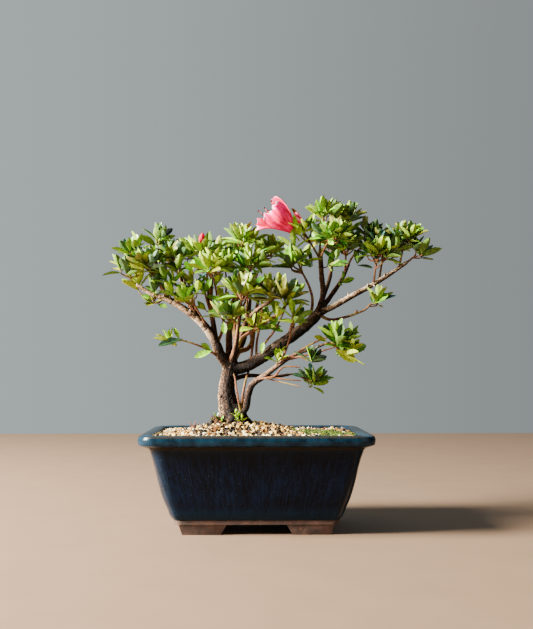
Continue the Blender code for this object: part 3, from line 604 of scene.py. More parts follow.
def strew(name, shapes, placings):
    """One mesh of many copies. A placing is a shape's number, its matrix, and what to add to its marks."""
    points, faces, marks = [], [], []
    count = 0
    for number, matrix, shift in placings:
        own_points, own_faces, own_marks = shapes[number]
        points.append(own_points @ np.array(matrix.to_3x3()).T + np.array(matrix.translation))
        faces += [tuple(corner + count for corner in face) for face in own_faces]
        marks += [mark + shift for mark in own_marks]
        count += len(own_points)
    mesh = bpy.data.meshes.new(name)
    mesh.from_pydata(np.concatenate(points), [], faces)
    mesh.polygons.foreach_set("material_index", marks)
    mesh.update()
    thing = bpy.data.objects.new(name, mesh)
    bpy.context.scene.collection.objects.link(thing)
    return thing


def any_way(rng):
    return Vector((rng.gauss(0, 1), rng.gauss(0, 1), rng.gauss(0, 1))).normalized()


def any_turn(rng):
    axis = any_way(rng)
    return Matrix.Rotation(rng.uniform(0, 2 * math.pi), 4, axis)


def bumps(x, y, z, scale=1.0):
    """Smooth noise round 0 at a place."""
    return noise.noise(Vector((x, y, z)) * scale)


# %% The bed under the stones
GROUND_HALF_WIDTH = 88.4        # inside the lip, where the gravel ends
GROUND_CORNER = RIM_CORNER - CORNER_SHRINK * (POT_HALF_WIDTH - GROUND_HALF_WIDTH)
GROUND_HALF_DEPTH = GROUND_HALF_WIDTH - DEPTH_LESS
BED_CELLS = (88, 62)
BED_DEPTH = 9.0
BED_SUNK, BED_LUMPS = 1.3, 0.5  # how deep the bed lies under the solid's surface, and how uneven it is
CORNER_REACH, CORNER_DRAWN = 6.0, 0.1       # so far outside the pot's wall, it is drawn in by that share
GROUND_LEVEL, SKY_LEVEL = 82.4, 140.0       # where no solid gravel is found, and where the search starts
gravel_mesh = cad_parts["gravel"].data
gravel_tree = BVHTree.FromPolygons([v.co for v in gravel_mesh.vertices],
                                   [tuple(face.vertices) for face in gravel_mesh.polygons])


def ground(x, y):
    """The point of the solid gravel's surface at x and y in millimetres."""
    hit = gravel_tree.ray_cast(spot(x, y, SKY_LEVEL), -UP)[0]
    return hit or spot(x, y, GROUND_LEVEL)


def wall_distance(x, y):
    """How far inside the pot's inner wall a place lies, in millimetres."""
    reach_x = abs(x) - GROUND_HALF_WIDTH + GROUND_CORNER
    reach_y = abs(y) - GROUND_HALF_DEPTH + GROUND_CORNER
    outside = math.hypot(max(reach_x, 0.0), max(reach_y, 0.0)) + min(max(reach_x, reach_y), 0.0)
    return GROUND_CORNER - outside


HEAP_PLACE, HEAP_REACH, HEAP_HEIGHT = (-35.0, -4.0), (8.5, 9.0), 5.0


def heap(x, y):
    """How much old bark and grit is heaped there against the trunk's left root."""
    away = math.hypot((x - HEAP_PLACE[0]) / HEAP_REACH[0], (y - HEAP_PLACE[1]) / HEAP_REACH[1])
    return UP * HEAP_HEIGHT * math.exp(-away ** 2) * MM


def make_bed():
    bpy.ops.mesh.primitive_grid_add(x_subdivisions=BED_CELLS[0], y_subdivisions=BED_CELLS[1], size=2 * MM)
    bed = bpy.context.object
    for vertex in bed.data.vertices:
        x, y = vertex.co.x / MM * GROUND_HALF_WIDTH, vertex.co.y / MM * GROUND_HALF_DEPTH
        inside = min(1.0, max(0.0, wall_distance(x, y) + CORNER_REACH) / CORNER_REACH)
        squeeze = 1 - CORNER_DRAWN + CORNER_DRAWN * inside
        x, y = x * squeeze, y * squeeze
        lumps = bumps(x, y, 0.0, 0.45) * BED_LUMPS
        vertex.co = ground(x, y) + UP * (lumps - BED_SUNK) * MM + heap(x, y)
    open_piece(bed)
    pick("EDGE", lambda edge: edge.is_boundary)
    bpy.ops.mesh.extrude_region_move(TRANSFORM_OT_translate={"value": (0.0, 0.0, -BED_DEPTH * MM)})
    bpy.ops.mesh.edge_face_add()
    close_outward()
    return bed


def mottled_finish(name, dark, light, scale=1.4, edges=(0.32, 0.66), rough=(0.7, 0.25), relief=0.12):
    """Two colours in fine mottling, which also makes the surface rough and uneven."""
    finish = Finish(name, {"Specular IOR Level": 0.3})
    fine = finish.grain(finish.where(), scale)
    return finish.put(Base_Color=finish.mix(finish.fade(fine, *edges), dark, light),
                      Roughness=rough[0] + fine * rough[1], Normal=finish.bump(fine, relief))


# The bed's grit is dark: its own colour, and painted shade in the gaps between the stones.
bed_shade_finish = mottled_finish("bed_grit_and_shade", (20, 14, 10), (52, 37, 25))
deliver(make_bed(), "gravel_bed", "gravel", [bed_shade_finish], "gravel")

# %% Chipped stones
STONE_KINDS = 8
CHIPS = 8
CHIP_DEPTHS = (0.5, 0.8)        # from the middle, as shares of the radius
STONE_STRETCH = [(1.0, 1.3), (0.8, 1.1), (0.65, 0.9)]
STONE_STEP = 2.75               # from one stone to the next
STONE_RADII = (1.05, 2.45)
STONE_LIFT = (-1.5, 0.8)        # how far a stone's middle lies above the solid's surface
TRUNK_CLEAR = 9.0               # no stones inside the trunk's foot
MOSS_CLEAR, MOSS_HIDES = 0.8, 0.75          # where the moss is thick, and the share of stones under it
STONE_COLOURS = [               # dark side, light side, and how common
    ((154, 122, 56), (206, 176, 102), 26), ((112, 78, 28), (160, 118, 50), 20),
    ((204, 186, 128), (248, 236, 190), 15), ((88, 46, 16), (128, 78, 30), 7),
    ((34, 22, 11), (66, 45, 24), 18), ((9, 8, 7), (24, 21, 18), 21),
]
TRUNK_FOOT = (-19.0, 0.0)
MOSS_PLACE, MOSS_REACH = (63.0, -15.0), (25.0, 33.0)


def mossy(x, y):
    """Above 1 outside the patch of moss, and falling towards its middle."""
    edge = bumps(x, y, 7.0, 0.11) * 0.55
    return math.hypot((x - MOSS_PLACE[0]) / MOSS_REACH[0], (y - MOSS_PLACE[1]) / MOSS_REACH[1]) + edge


def make_stone(rng):
    bpy.ops.mesh.primitive_ico_sphere_add(subdivisions=2, radius=MM)
    stone = bpy.context.object
    open_piece(stone)
    for _ in range(CHIPS):
        way = any_way(rng)
        pick_all()
        bpy.ops.mesh.bisect(plane_co=way * rng.uniform(*CHIP_DEPTHS) * MM, plane_no=way, use_fill=True,
                            clear_outer=True)
    pick_all()
    bpy.ops.mesh.dissolve_limited(angle_limit=math.radians(28))
    close_piece()
    stone.scale = [rng.uniform(*share) for share in STONE_STRETCH]
    return shape_of(stone)


JITTER = 0.45                   # as a share of a step


def open_ground(rng, step):
    """Jittered places a step apart all over the gravel."""
    for row in range(int(2 * GROUND_HALF_DEPTH / step) + 1):
        for column in range(int(2 * GROUND_HALF_WIDTH / step) + 1):
            x = (column + rng.uniform(-JITTER, JITTER)) * step - GROUND_HALF_WIDTH
            y = (row + rng.uniform(-JITTER, JITTER)) * step - GROUND_HALF_DEPTH
            yield x, y


def make_stones():
    rng = random.Random(11)
    stones = [make_stone(rng) for _ in range(STONE_KINDS)]
    placings = []
    for x, y in open_ground(rng, STONE_STEP):
        radius = rng.uniform(*STONE_RADII)
        if wall_distance(x, y) < radius * 0.9 or math.dist((x, y), TRUNK_FOOT) < TRUNK_CLEAR:
            continue
        if mossy(x, y) < MOSS_CLEAR and rng.random() < MOSS_HIDES:
            continue
        kind = rng.choices(range(len(STONE_COLOURS)), [common for _, _, common in STONE_COLOURS])[0]
        lift = rng.uniform(*STONE_LIFT) * MM
        turn = any_turn(rng) @ Matrix.Scale(radius, 4)
        place = Matrix.Translation(ground(x, y) + UP * lift + heap(x, y))
        placings.append((rng.randrange(STONE_KINDS), place @ turn, kind))
    print(len(placings), "stones")
    return strew("stones", stones, placings)


stone_finishes = [mottled_finish(f"stone_{number}", dark, light)
                  for number, (dark, light, _) in enumerate(STONE_COLOURS)]
deliver(make_stones(), "gravel_stones", "gravel", stone_finishes)

# %% [markdown]
# A cushion of moss has spread behind the front rim on the right. Its blades are three-sided spikes, thick
# enough to cast their own shade, over a few soft lumps.

# %% Moss
MOSS_STEP = 0.85
MOSS_BARE, MOSS_LUMPS = 0.25, 0.16          # shares of the places without a blade, and with a lump
BLADE_HEIGHT = (1.4, 3.4)
BLADE_RADIUS = 0.34
CUSHION_HEIGHT, CUSHION_BUMPS = 1.2, 0.8
MOSS_COMMON = (6, 5, 2)         # how common each of its colours is
MOSS_COLOURS = [((36, 56, 5), (76, 102, 12)), ((8, 20, 4), (30, 50, 9)), ((90, 110, 20), (146, 158, 44))]


def make_blade():
    bpy.ops.mesh.primitive_cone_add(vertices=3, radius1=BLADE_RADIUS * MM, radius2=0.0, depth=MM,
                                    location=(0, 0, MM / 2))
    blade = bpy.context.object
    settle(blade)
    open_piece(blade)
    pick_all()
    bpy.ops.mesh.bisect(plane_co=(0, 0, 0.5 * MM), plane_no=(0, 0, 1))
    pick("VERT", lambda vertex: vertex.co.z > 0.9 * MM)
    bpy.ops.transform.translate(value=(0.35 * MM, 0, -0.1 * MM))
    close_piece()
    return shape_of(blade)


def make_moss():
    rng = random.Random(23)
    shapes = [make_blade(), make_stone(rng)]
    placings = []
    for x, y in open_ground(rng, MOSS_STEP):
        depth = 1.0 - mossy(x, y)
        if depth < 0.0 or wall_distance(x, y) < 1.0 or rng.random() < MOSS_BARE:
            continue
        cushion = min(1.0, depth * 3.0) * CUSHION_HEIGHT + bumps(x, y, 3.0, 0.3) * CUSHION_BUMPS
        height = rng.uniform(*BLADE_HEIGHT)
        lean = Matrix.Rotation(rng.gauss(0, 0.45), 4, "X") @ Matrix.Rotation(rng.uniform(0, 6.3), 4, "Z")
        size = Matrix.Diagonal((1.0, 1.0, height, 1.0))
        place = Matrix.Translation(ground(x, y) + UP * (cushion - 0.6) * MM)
        placings.append((0, place @ lean @ size, rng.choices((0, 1, 2), MOSS_COMMON)[0]))
        if rng.random() < MOSS_LUMPS:
            lump = Matrix.Diagonal((2.2, 2.2, 1.0 + 0.5 * depth, 1.0))
            placings.append((1, Matrix.Translation(ground(x, y) + UP * (cushion - 1.6) * MM) @ lump, 1))
    return strew("moss", shapes, placings)


moss_finishes = [mottled_finish(f"moss_{number}", dark, light)
                 for number, (dark, light) in enumerate(MOSS_COLOURS)]
deliver(make_moss(), "moss", "foliage", moss_finishes)

# %% [markdown]
# ## Trunk and boughs
# The trunk leans left from a flare of surface roots and forks into boughs that were bent with wire long ago.
# Each limb is a curve with a bevel, tapering and a little uneven, as the solid model has it. All of them are
# made one skin by a voxel remesh, so that forks flow into each other, and then the bark is pressed in.

# %% The limbs' routes
TRUNK_ROUTE = [(-20, 0, 86.0), (-19, 0, 92.1), (-22.5, 0, 99), (-25.5, 0, 109), (-27, 0, 124), (-24, 0, 140),
               (-23, 1, 150)]
TRUNK_RADII = [12.0, 11.6, 10.2, 9.0, 7.1, 7.0, 5.6]
BURIED = 6.1                    # how much of the trunk's route lies under its cut
LIMBS = {                       # carrier, how far along it, points beyond, radius at the root and at the tip
    "left_bough": ("trunk", 0.86, [(-32, -3, 153), (-38, -6, 167), (-46, -8, 179), (-65, -12, 195),
                                   (-79, -14, 203), (-95, -15, 209), (-108, -16, 217)], 4.9, 1.5),
    "left_riser": ("left_bough", 0.70, [(-87, -4, 216), (-91, 2, 234)], 1.9, 1.2),
    "left_inner_bough": ("left_bough", 0.36, [(-59, 2, 196), (-67, 8, 212), (-70, 8, 227)], 2.5, 1.4),
    "left_back_bough": ("left_bough", 0.40, [(-60, 18, 203), (-70, 38, 219), (-74, 46, 232)], 2.0, 1.3),
    "rising_stem": ("left_bough", 0.24, [(-39, -5, 181), (-42, -6, 197), (-44, -6, 217)], 2.6, 1.6),
    "centre_bough": ("trunk", 0.93, [(-25, 0, 160), (-25, 0, 172), (-23, 4, 195), (-17, 6, 219),
                                     (-14, 4, 236)], 3.4, 1.3),
    "front_bough": ("trunk", 0.95, [(-18, -20, 164), (-16, -36, 179), (-14, -44, 193)], 2.4, 1.3),
    "centre_right_bough": ("trunk", 0.97, [(-14, -8, 168), (-10, -16, 182), (0, -22, 193),
                                           (12, -26, 201)], 2.7, 1.4),
    "back_bough": ("trunk", 0.92, [(-12, 24, 169), (-8, 42, 196), (-6, 54, 229)], 3.2, 1.5),
    "right_bough": ("trunk", 0.84, [(-12, 0, 143), (4, -4, 151), (20, -8, 162.5), (36, -11, 173.5),
                                    (50, -13, 185), (57, -14, 193)], 5.4, 4.6),
    "right_outer_bough": ("right_bough", 0.97, [(70, -15, 198), (86, -14, 207), (101, -12, 215),
                                                (116, -9, 224), (128, -7, 232), (138, -6, 239)], 2.9, 1.5),
    "right_upright": ("right_bough", 0.96, [(60, -12, 208), (59, -10, 226), (58, -8, 247)], 2.7, 2.0),
    "right_fan": ("right_bough", 0.98, [(68, -6, 208), (79, 4, 224), (86, 10, 239)], 2.4, 1.5),
    "right_fan_back": ("right_bough", 0.94, [(63, 6, 211), (70, 24, 229), (73, 36, 248)], 2.2, 1.5),
    "right_back_bough": ("right_bough", 0.62, [(34, 8, 185), (34, 26, 201), (28, 36, 213)], 2.2, 1.4),
    "second_stem": ("trunk", 0.15, [(-10, -9, 106), (-8, -11, 116), (-4, -14, 127), (7, -18, 135),
                                    (20, -24, 145), (32, -28, 153), (49, -32, 159),
                                    (60, -34, 163)], 3.8, 0.9),
    "low_back_bough": ("trunk", 0.66, [(-10, 10, 135), (2, 18, 135), (16, 24, 134), (31, 28, 136)], 2.2, 1.3),
}
STUBS = [                       # pruned twigs: limb, how far along it, which way, length, radius
    ("right_outer_bough", 0.52, (0.3, -0.5, 0.8), 5.0, 0.9),
    ("right_outer_bough", 0.60, (0.2, -0.8, -0.5), 4.0, 0.8),
    ("right_outer_bough", 0.33, (-0.2, 0.2, 1.0), 4.5, 0.9),
    ("left_bough", 0.52, (-0.2, -0.6, 0.8), 4.5, 1.0), ("right_bough", 0.55, (0.1, -0.6, -0.7), 3.6, 1.3),
    ("second_stem", 0.45, (0.1, -0.3, 1.0), 4.0, 0.8), ("centre_bough", 0.4, (-0.9, -0.5, 0.4), 4.0, 0.9),
    ("right_outer_bough", 0.74, (-0.3, -0.4, 0.9), 4.5, 0.9),
    ("left_bough", 0.72, (0.2, -0.3, 0.9), 4.0, 1.0),
    ("left_bough", 0.76, (-0.1, -0.6, 0.8), 3.6, 0.9), ("left_bough", 0.69, (0.3, 0.1, 1.0), 4.4, 0.9),
    ("trunk", 0.62, (0.9, -0.6, 0.2), 8.6, 1.8), ("trunk", 0.48, (-0.8, -0.8, 0.1), 9.4, 1.6),
]
SURFACE_ROOTS = [               # bearing in degrees, length, radius where it leaves the trunk
    (168, 27.0, 6.2), (190, 23.0, 5.4), (218, 21.0, 4.8), (250, 19.5, 4.4), (285, 18.0, 4.0),
    (318, 19.0, 4.2), (350, 21.5, 4.8), (22, 19.0, 4.0), (62, 17.0, 3.6), (96, 18.5, 4.2), (135, 19.0, 4.0),
]


def reaches(route):
    """How far along a route each of its points lies."""
    reach = [0.0]
    for start, end in zip(route, route[1:]):
        reach.append(reach[-1] + (end - start).length)
    return reach


class Limb:
    """A centre line and the radius at each of its points, in metres."""

    def __init__(self, route, radii):
        self.route = route
        self.radii = radii
        self.reach = reaches(route)

    def at(self, share):
        """The point, radius and direction a share of the way along."""
        goal = share * self.reach[-1]
        for i in range(len(self.route) - 1):
            if goal <= self.reach[i + 1] or i == len(self.route) - 2:
                t = (goal - self.reach[i]) / (self.reach[i + 1] - self.reach[i])
                return (self.route[i].lerp(self.route[i + 1], t),
                        self.radii[i] + (self.radii[i + 1] - self.radii[i]) * t,
                        (self.route[i + 1] - self.route[i]).normalized())


ROUTE_STEP = 2.0 * MM
COLLAR, COLLAR_REACH = 0.28, 4.5 * MM       # how a limb swells where it leaves its carrier
UNEVEN = 0.09


def grow_limbs():
    """The trunk and every limb on its smooth route, with radii that taper and swell a little."""
    knots = [Vector((*spot(*point), radius * MM)) for point, radius in zip(TRUNK_ROUTE, TRUNK_RADII)]
    route = smooth_route(knots, ROUTE_STEP)
    limbs = {"trunk": Limb([knot.to_3d() for knot in route], [knot.w for knot in route])}
    for number, (name, (carrier, share, points, root, tip)) in enumerate(LIMBS.items()):
        if carrier == "trunk":
            total = limbs["trunk"].reach[-1]
            share = (BURIED * MM + share * (total - BURIED * MM)) / total
        start = limbs[carrier].at(share)[0]
        route = smooth_route([start] + [spot(*point) for point in points], ROUTE_STEP)
        length = reaches(route)[-1]
        radii = []
        for reach in reaches(route):
            along = reach / length
            swell = 1 + COLLAR * math.exp(-(reach / COLLAR_REACH) ** 2)
            swell += UNEVEN * bumps(reach / MM * 0.16, number * 9.1, 0.0)
            radii.append((root + (tip - root) * along) * swell * MM)
        limbs[name] = Limb(route, radii)
    return limbs


limbs = grow_limbs()
print(len(limbs), "limbs,", round(sum(limb.reach[-1] for limb in limbs.values()) / MM), "mm long in all")

# %% Tubes from curves
TRUNK_CUT = 92.1                # the height where the trunk meets the gravel
ROOT_LESS = 0.62                # how much thinner a surface root is at its end
STUB_SHOWS, KNOT_SHOWS = 0.5, 0.12          # how much of its length a stub keeps, on a bough and on the trunk


def tubes(name, runs, resolution):
    """One mesh of round tubes. Each run of points and radii is a spline of a curve with a bevel."""
    curve = bpy.data.curves.new(name, "CURVE")
    curve.dimensions = "3D"
    curve.bevel_depth = MM
    curve.bevel_resolution = resolution
    curve.use_fill_caps = True
    for points, radii in runs:
        spline = curve.splines.new("POLY")
        spline.points.add(len(points) - 1)
        for knot, place, radius in zip(spline.points, points, radii):
            knot.co = (*place, 1.0)
            knot.radius = radius / MM
    thing = bpy.data.objects.new(name, curve)
    bpy.context.scene.collection.objects.link(thing)
    only(thing)
    bpy.ops.object.convert(target="MESH")
    thing = bpy.context.object
    open_piece(thing)
    close_outward(0.004 * MM)
    return thing


def taper(points, root, tip):
    """A radius for each of the points, from the root's to the tip's."""
    last = len(points) - 1
    return [root + (tip - root) * i / last for i in range(last + 1)]


def bearing_way(degrees):
    return Vector((math.cos(math.radians(degrees)), math.sin(math.radians(degrees)), 0.0))


def root_run(bearing, length, radius):
    """A surface root: down the trunk's flare, out along the gravel, a little sideways, and into it."""
    foot = spot(*TRUNK_FOOT, TRUNK_CUT)
    way = bearing_way(bearing)
    side = UP.cross(way) * math.sin(bearing) * 1.6 * MM
    points = [foot + way * 3.6 * MM + UP * 17.0 * MM,
              foot + way * 8.2 * MM + UP * 5.0 * MM,
              foot + way * length * 0.68 * MM - UP * 0.4 * MM + side,
              foot + way * length * MM - UP * 6.0 * MM]
    route = smooth_route(points, ROUTE_STEP)
    return route, [radius * (1.0 - ROOT_LESS * i / (len(route) - 1)) * MM for i in range(len(route))]


def stub_run(limb, share, way, length, radius):
    place, thickness, _ = limbs[limb].at(share)
    way = Vector(way).normalized()
    end = place + way * (thickness + length * MM * (STUB_SHOWS if limb != "trunk" else KNOT_SHOWS))
    points = [place, place.lerp(end, 0.6), end]
    return points, [radius * 1.3 * MM, radius * MM, radius * 0.8 * MM]


# %% One skin, then the bark
SKIN_VOXEL = 0.6 * MM
SKIN_GROWTH = 0.16 * MM         # what smoothing takes off again
CRACK_DEPTH = 1.3 * MM
WORN_AND_LIT_SIDE = Vector((-0.72, -0.62, 0.12))    # the side towards the window, where the boughs' bark is peeled and pale: partly wear, partly painted light
WORN_AND_LIT_LIMBS = {"left_bough": (1.0, 26.0), "right_outer_bough": (0.95, -16.0)}   # how much, and from where on
WORN_AND_LIT_ELSEWHERE = (0.12, 26.0)
# how much paler the worn patches make the bark: partly wear, partly painted light
WORN_AND_LIT_PALER = 0.2
LIMB_TONES = {"left_bough": 0.1, "second_stem": -0.14, "right_bough": -0.1}     # above 0, the bark is paler
LIT_SIDE = Vector((-0.96, 0.16, 0.24))      # towards the window: painted light makes the bark paler on that side
LIT_TURN = 0.44                 # where the painted light ends and the painted shade begins
PALER, DARKER = 0.34, 0.5       # how much painted light and painted shade shift the bark's height for its finish
WORN_AND_LIT_FULL, TONE_START = 30.0 * MM, 8.0 * MM             # how far along a limb the worn and lit patches and the tone take to set in
PLATE_LEVEL = 0.62              # the height of bark that stays where the skin is
DEEP_RADIUS = 6.5 * MM          # limbs from this radius on have the full depth of cracks
YOUNG_RADIUS, AGE_SPAN = 1.3, 3.6           # up to this radius bark is young, and that much more makes it old


def make_skin():
    runs = [(limb.route, [radius + SKIN_GROWTH for radius in limb.radii]) for limb in limbs.values()]
    runs += [root_run(*root) for root in SURFACE_ROOTS] + [stub_run(*stub) for stub in STUBS]
    skin = tubes("skin", runs, 4)
    apply_modifier(skin, "REMESH", mode="VOXEL", voxel_size=SKIN_VOXEL, adaptivity=0.0)
    apply_modifier(skin, "SMOOTH", factor=0.5, iterations=2)
    return skin


def limb_samples():
    """Every limb's points, each with its way, two sides across it, its reach and radius."""
    samples = []
    for number, limb in enumerate(limbs.values()):
        way = (limb.route[1] - limb.route[0]).normalized()
        side = way.orthogonal().normalized()
        for i, point in enumerate(limb.route):
            ahead = (limb.route[min(i + 1, len(limb.route) - 1)] - limb.route[max(i - 1, 0)]).normalized()
            side = way.rotation_difference(ahead) @ side
            way = ahead
            samples.append((point, way, side, way.cross(side), limb.reach[i], limb.radii[i], number))
    return samples


def bark_relief(around, along, radius, number):
    """Bark's height from 0 in a crack to 1 on a plate: long plates between cracks that run along the limb."""
    ring = Vector((math.cos(around), math.sin(around), 0.0)) * (radius / MM)
    length = along / MM
    rough = bumps(ring.x * 2.6, ring.y * 2.6 + 9.0, length * 1.7 + number * 3.0)
    plate = bumps(ring.x * 0.8, ring.y * 0.8, length * 0.26 + number * 23.0)
    flake = bumps(ring.x * 1.9 + 5.0, ring.y * 1.9, length * 0.9 + number * 7.0)
    crack = min(1.0, abs(plate + 0.22 * flake) * 4.4)
    return 0.46 * crack + 0.32 * (0.5 + 0.8 * flake) + 0.22 * (0.5 + rough)


def press_bark(skin):
    """Presses the bark into the skin, and marks its height, age and wear on it for the finish. The height
    also carries painted light and shade, and the wear painted light.
    """
    worn_and_lit_limbs = [WORN_AND_LIT_LIMBS.get(name, WORN_AND_LIT_ELSEWHERE) for name in limbs]
    tones = [LIMB_TONES.get(name, 0.0) for name in limbs]
    samples = limb_samples()
    tree = KDTree(len(samples))
    for i, sample in enumerate(samples):
        tree.insert(sample[0], i)
    tree.balance()
    heights, ages, bare_and_lit = [], [], []
    normals = [vertex.normal.copy() for vertex in skin.data.vertices]
    for vertex, normal in zip(skin.data.vertices, normals):
        point, way, side, other, reach, radius, number = samples[tree.find(vertex.co)[1]]
        offset = vertex.co - point
        around = math.atan2(offset.dot(other), offset.dot(side))
        height = bark_relief(around, reach + offset.dot(way), radius, number)
        depth = CRACK_DEPTH * min(1.0, (radius / DEEP_RADIUS) ** 0.9)
        vertex.co += normal * (height - PLATE_LEVEL) * depth
        # painted light and shade: bark that faces the window is marked paler, and bark that faces away darker
        lit = normal.dot(LIT_SIDE) - LIT_TURN
        # worn patches lie only on the side towards the window: peeled bark, and painted light as well
        worn_and_lit = min(1.0, max(0.0, (normal.dot(WORN_AND_LIT_SIDE) - 0.1) * 1.6))
        share, start = worn_and_lit_limbs[number]
        worn_and_lit *= share * min(1.0, max(0.0, (reach - start * MM) / WORN_AND_LIT_FULL))
        bare_and_lit.append(worn_and_lit if number else 0.0)
        tone = tones[number] * min(1.0, reach / TONE_START) + bare_and_lit[-1] * WORN_AND_LIT_PALER
        heights.append(height + lit * (PALER if lit > 0 else DARKER) + tone)
        ages.append(min(1.0, max(0.0, (radius / MM - YOUNG_RADIUS) / AGE_SPAN)))
    mark_points(skin, relief=heights, age=ages, bare=bare_and_lit)


skin = make_skin()
press_bark(skin)
only(skin)
bpy.ops.object.shade_smooth()

# %% [markdown]
# Old bark is grey brown with beige edges where plates lift, and nearly black in the cracks. Young boughs are
# smooth and more orange. The skin carries its relief, its age and how worn it is, so the colours follow the
# real cracks, and a finer grain comes from noise. The relief also holds painted light on the side towards the
# window and painted shade on the far side, and the pale worn patches lie on the lit side as painted light
# too.

# %% Bark


def bark_finish():
    bark = Finish("bark", {"Specular IOR Level": 0.25})
    here = bark.where()
    relief = bark.mark("relief")
    grain = bark.grain(bark.where((1.0, 1.0, 0.4)), 1.3, detail=5.0, roughness=0.65)
    patch = bark.grain(here, 0.10)
    # the marked relief holds the cracks and also the painted light and shade of each side
    height = relief * 0.62 + grain * 1.2 - 0.41
    old = bark.ramp(height, (0.26, (5, 3, 2)), (0.50, (28, 17, 11)), (0.67, (76, 51, 34)),
                    (0.92, (198, 160, 116)))
    old = bark.mix(bark.fade(patch, 0.52, 0.70) * 0.3, old, (58, 48, 42))
    young = bark.ramp(height, (0.20, (16, 8, 5)), (0.50, (62, 35, 21)), (0.90, (190, 132, 88)))
    colour = bark.mix(bark.fade(bark.mark("age"), 0.05, 0.75), young, old)
    # pale peeled bark, laid only on the side towards the window, so it is also painted light
    bare = bark.ramp(height, (0.16, (72, 48, 34)), (0.40, (192, 156, 122)), (0.8, (242, 218, 186)))
    colour = bark.mix(bark.mark("bare") * bark.fade(patch + grain * 0.5, 0.58, 0.74), colour, bare)
    return bark.put(Base_Color=colour, Roughness=0.78 + grain * 0.15, Normal=bark.bump(grain, 0.8))


deliver(skin, "bark_skin", "bark", [bark_finish()], "trunk", *LIMBS)

# %% [markdown]
# ## Foliage
# The solid model grows each mass of leaves by a rule: a stem runs from its limb to a hub, and shoots fan out
# from there a golden angle apart, up and outwards to the light. The same rule is written here again, with the
# same first shoots, and goes on where the solids had to stop: more shoots inside each mass, side twigs, and
# on every tip a rosette of leaves of the real size.

# %% The masses
MASSES = {                      # limb, how far along it, the mass's centre, half sizes, the solid's shoots
    "left_tip": ("left_bough", 1.0, (-120, -16, 230), (14, 15, 14), 2),
    "left_edge": ("left_riser", 0.6, (-115, -2, 249), (13, 14, 12), 2),
    "left_crest": ("left_riser", 1.0, (-92, 2, 259), (14, 15, 15), 2),
    "left_front": ("left_riser", 0.8, (-97, -22, 235), (14, 14, 13), 3),
    "left_shoulder": ("left_inner_bough", 1.0, (-72, 2, 246), (16, 17, 14), 3),
    "left_low": ("left_inner_bough", 0.7, (-78, -18, 222), (14, 13, 11), 2),
    "left_back": ("left_back_bough", 1.0, (-84, 50, 250), (21, 24, 17), 5),
    "bud_tuft": ("rising_stem", 1.0, (-49, -8, 251), (17, 17, 14), 4),
    "mid_front": ("rising_stem", 0.9, (-38, -31, 232), (18, 17, 14), 4),
    "mid_back": ("left_back_bough", 0.85, (-42, 46, 251), (20, 23, 16), 5),
    "top_middle": ("centre_bough", 1.0, (-13, 2, 261), (17, 18, 14), 4),
    "middle": ("centre_bough", 0.8, (-5, -22, 237), (16, 17, 14), 4),
    "top_right": ("centre_bough", 0.9, (13, 12, 252), (14, 17, 13), 3),
    "back_top": ("back_bough", 1.0, (-10, 58, 254), (23, 22, 18), 6),
    "front_upper": ("front_bough", 1.0, (-12, -50, 209), (16, 18, 14), 5),
    "front_lower": ("front_bough", 0.75, (-25, -44, 190), (17, 16, 10), 3),
    "inner_sprig": ("left_bough", 0.33, (-63, -22, 206), (11, 12, 11), 2),
    "left_under": ("left_bough", 0.80, (-93, -16, 204), (13, 12, 9), 2),
    "low_left": ("left_bough", 0.06, (-76, -14, 169), (15, 12, 10), 2),
    "bloom_tuft": ("right_upright", 0.88, (42, -12, 268), (13, 15, 20), 4),
    "right_top": ("right_upright", 1.0, (64, -4, 284), (15, 16, 14), 4),
    "right_front": ("right_upright", 0.92, (68, -30, 261), (16, 15, 12), 3),
    "right_crest": ("right_fan_back", 0.9, (86, 14, 283), (14, 16, 14), 3),
    "right_inner": ("right_fan", 0.85, (82, -8, 252), (15, 14, 14), 3),
    "right_rear": ("right_fan_back", 1.0, (76, 52, 269), (22, 22, 18), 6),
    "right_shoulder": ("right_fan", 1.0, (107, 6, 264), (16, 17, 13), 4),
    "right_fore": ("right_outer_bough", 0.60, (109, -25, 246), (18, 15, 13), 4),
    "right_far_rear": ("right_outer_bough", 0.66, (126, 37, 258), (21, 21, 16), 5),
    "right_edge": ("right_outer_bough", 0.90, (137, -3, 264), (18, 16, 13), 4),
    "right_tip": ("right_outer_bough", 1.0, (150, -9, 249), (13, 15, 12), 2),
    "gap_sprig": ("right_bough", 0.86, (35, -18, 237), (19, 14, 15), 3),
    "mid_right": ("centre_right_bough", 1.0, (21, -30, 207), (20, 16, 14), 5),
    "mid_rear": ("right_back_bough", 1.0, (18, 44, 219), (18, 20, 14), 4),
    "mid_low": ("second_stem", 0.62, (32, -36, 187), (12, 13, 13), 2),
    "low_right": ("right_bough", 0.97, (107, -16, 205), (14, 12, 11), 2),
    "second_tip": ("second_stem", 1.0, (71, -35, 164), (21, 18, 18), 6),
    "second_low": ("second_stem", 0.70, (46, -40, 152), (14, 12, 9), 2),
    "low_rear": ("low_back_bough", 1.0, (52, 31, 131), (15, 15, 13), 3),
    "rear_low": ("back_bough", 0.45, (2, 54, 187), (18, 19, 14), 4),
}
SOLID_MASSES = [f"foliage_{name}" for name in MASSES]
TWIG_BENDS = {                  # where a mass hangs on a longer twig
    "low_left": [(-43, -8, 158), (-60, -13, 165)],
    "gap_sprig": [(50, -17, 205), (44, -18, 222)],
    "mid_low": [(29, -32, 168)],
    "low_right": [(65, -17, 185.5), (79, -17.5, 187.5), (91, -17, 191.5), (99, -16.5, 195.5)],
    "inner_sprig": [(-52, -17, 192)],
}
MASS_KINDS = {                  # masses whose leaves are mostly of one kind in the photograph
    "front_lower": 2, "low_right": 1, "mid_right": 4, "second_tip": 2, "second_low": 3, "low_rear": 2,
    "mid_low": 2, "right_front": 1, "left_under": 4,
}
KIND_KEPT = 0.62                # share of such a mass's rosettes that keep to its kind
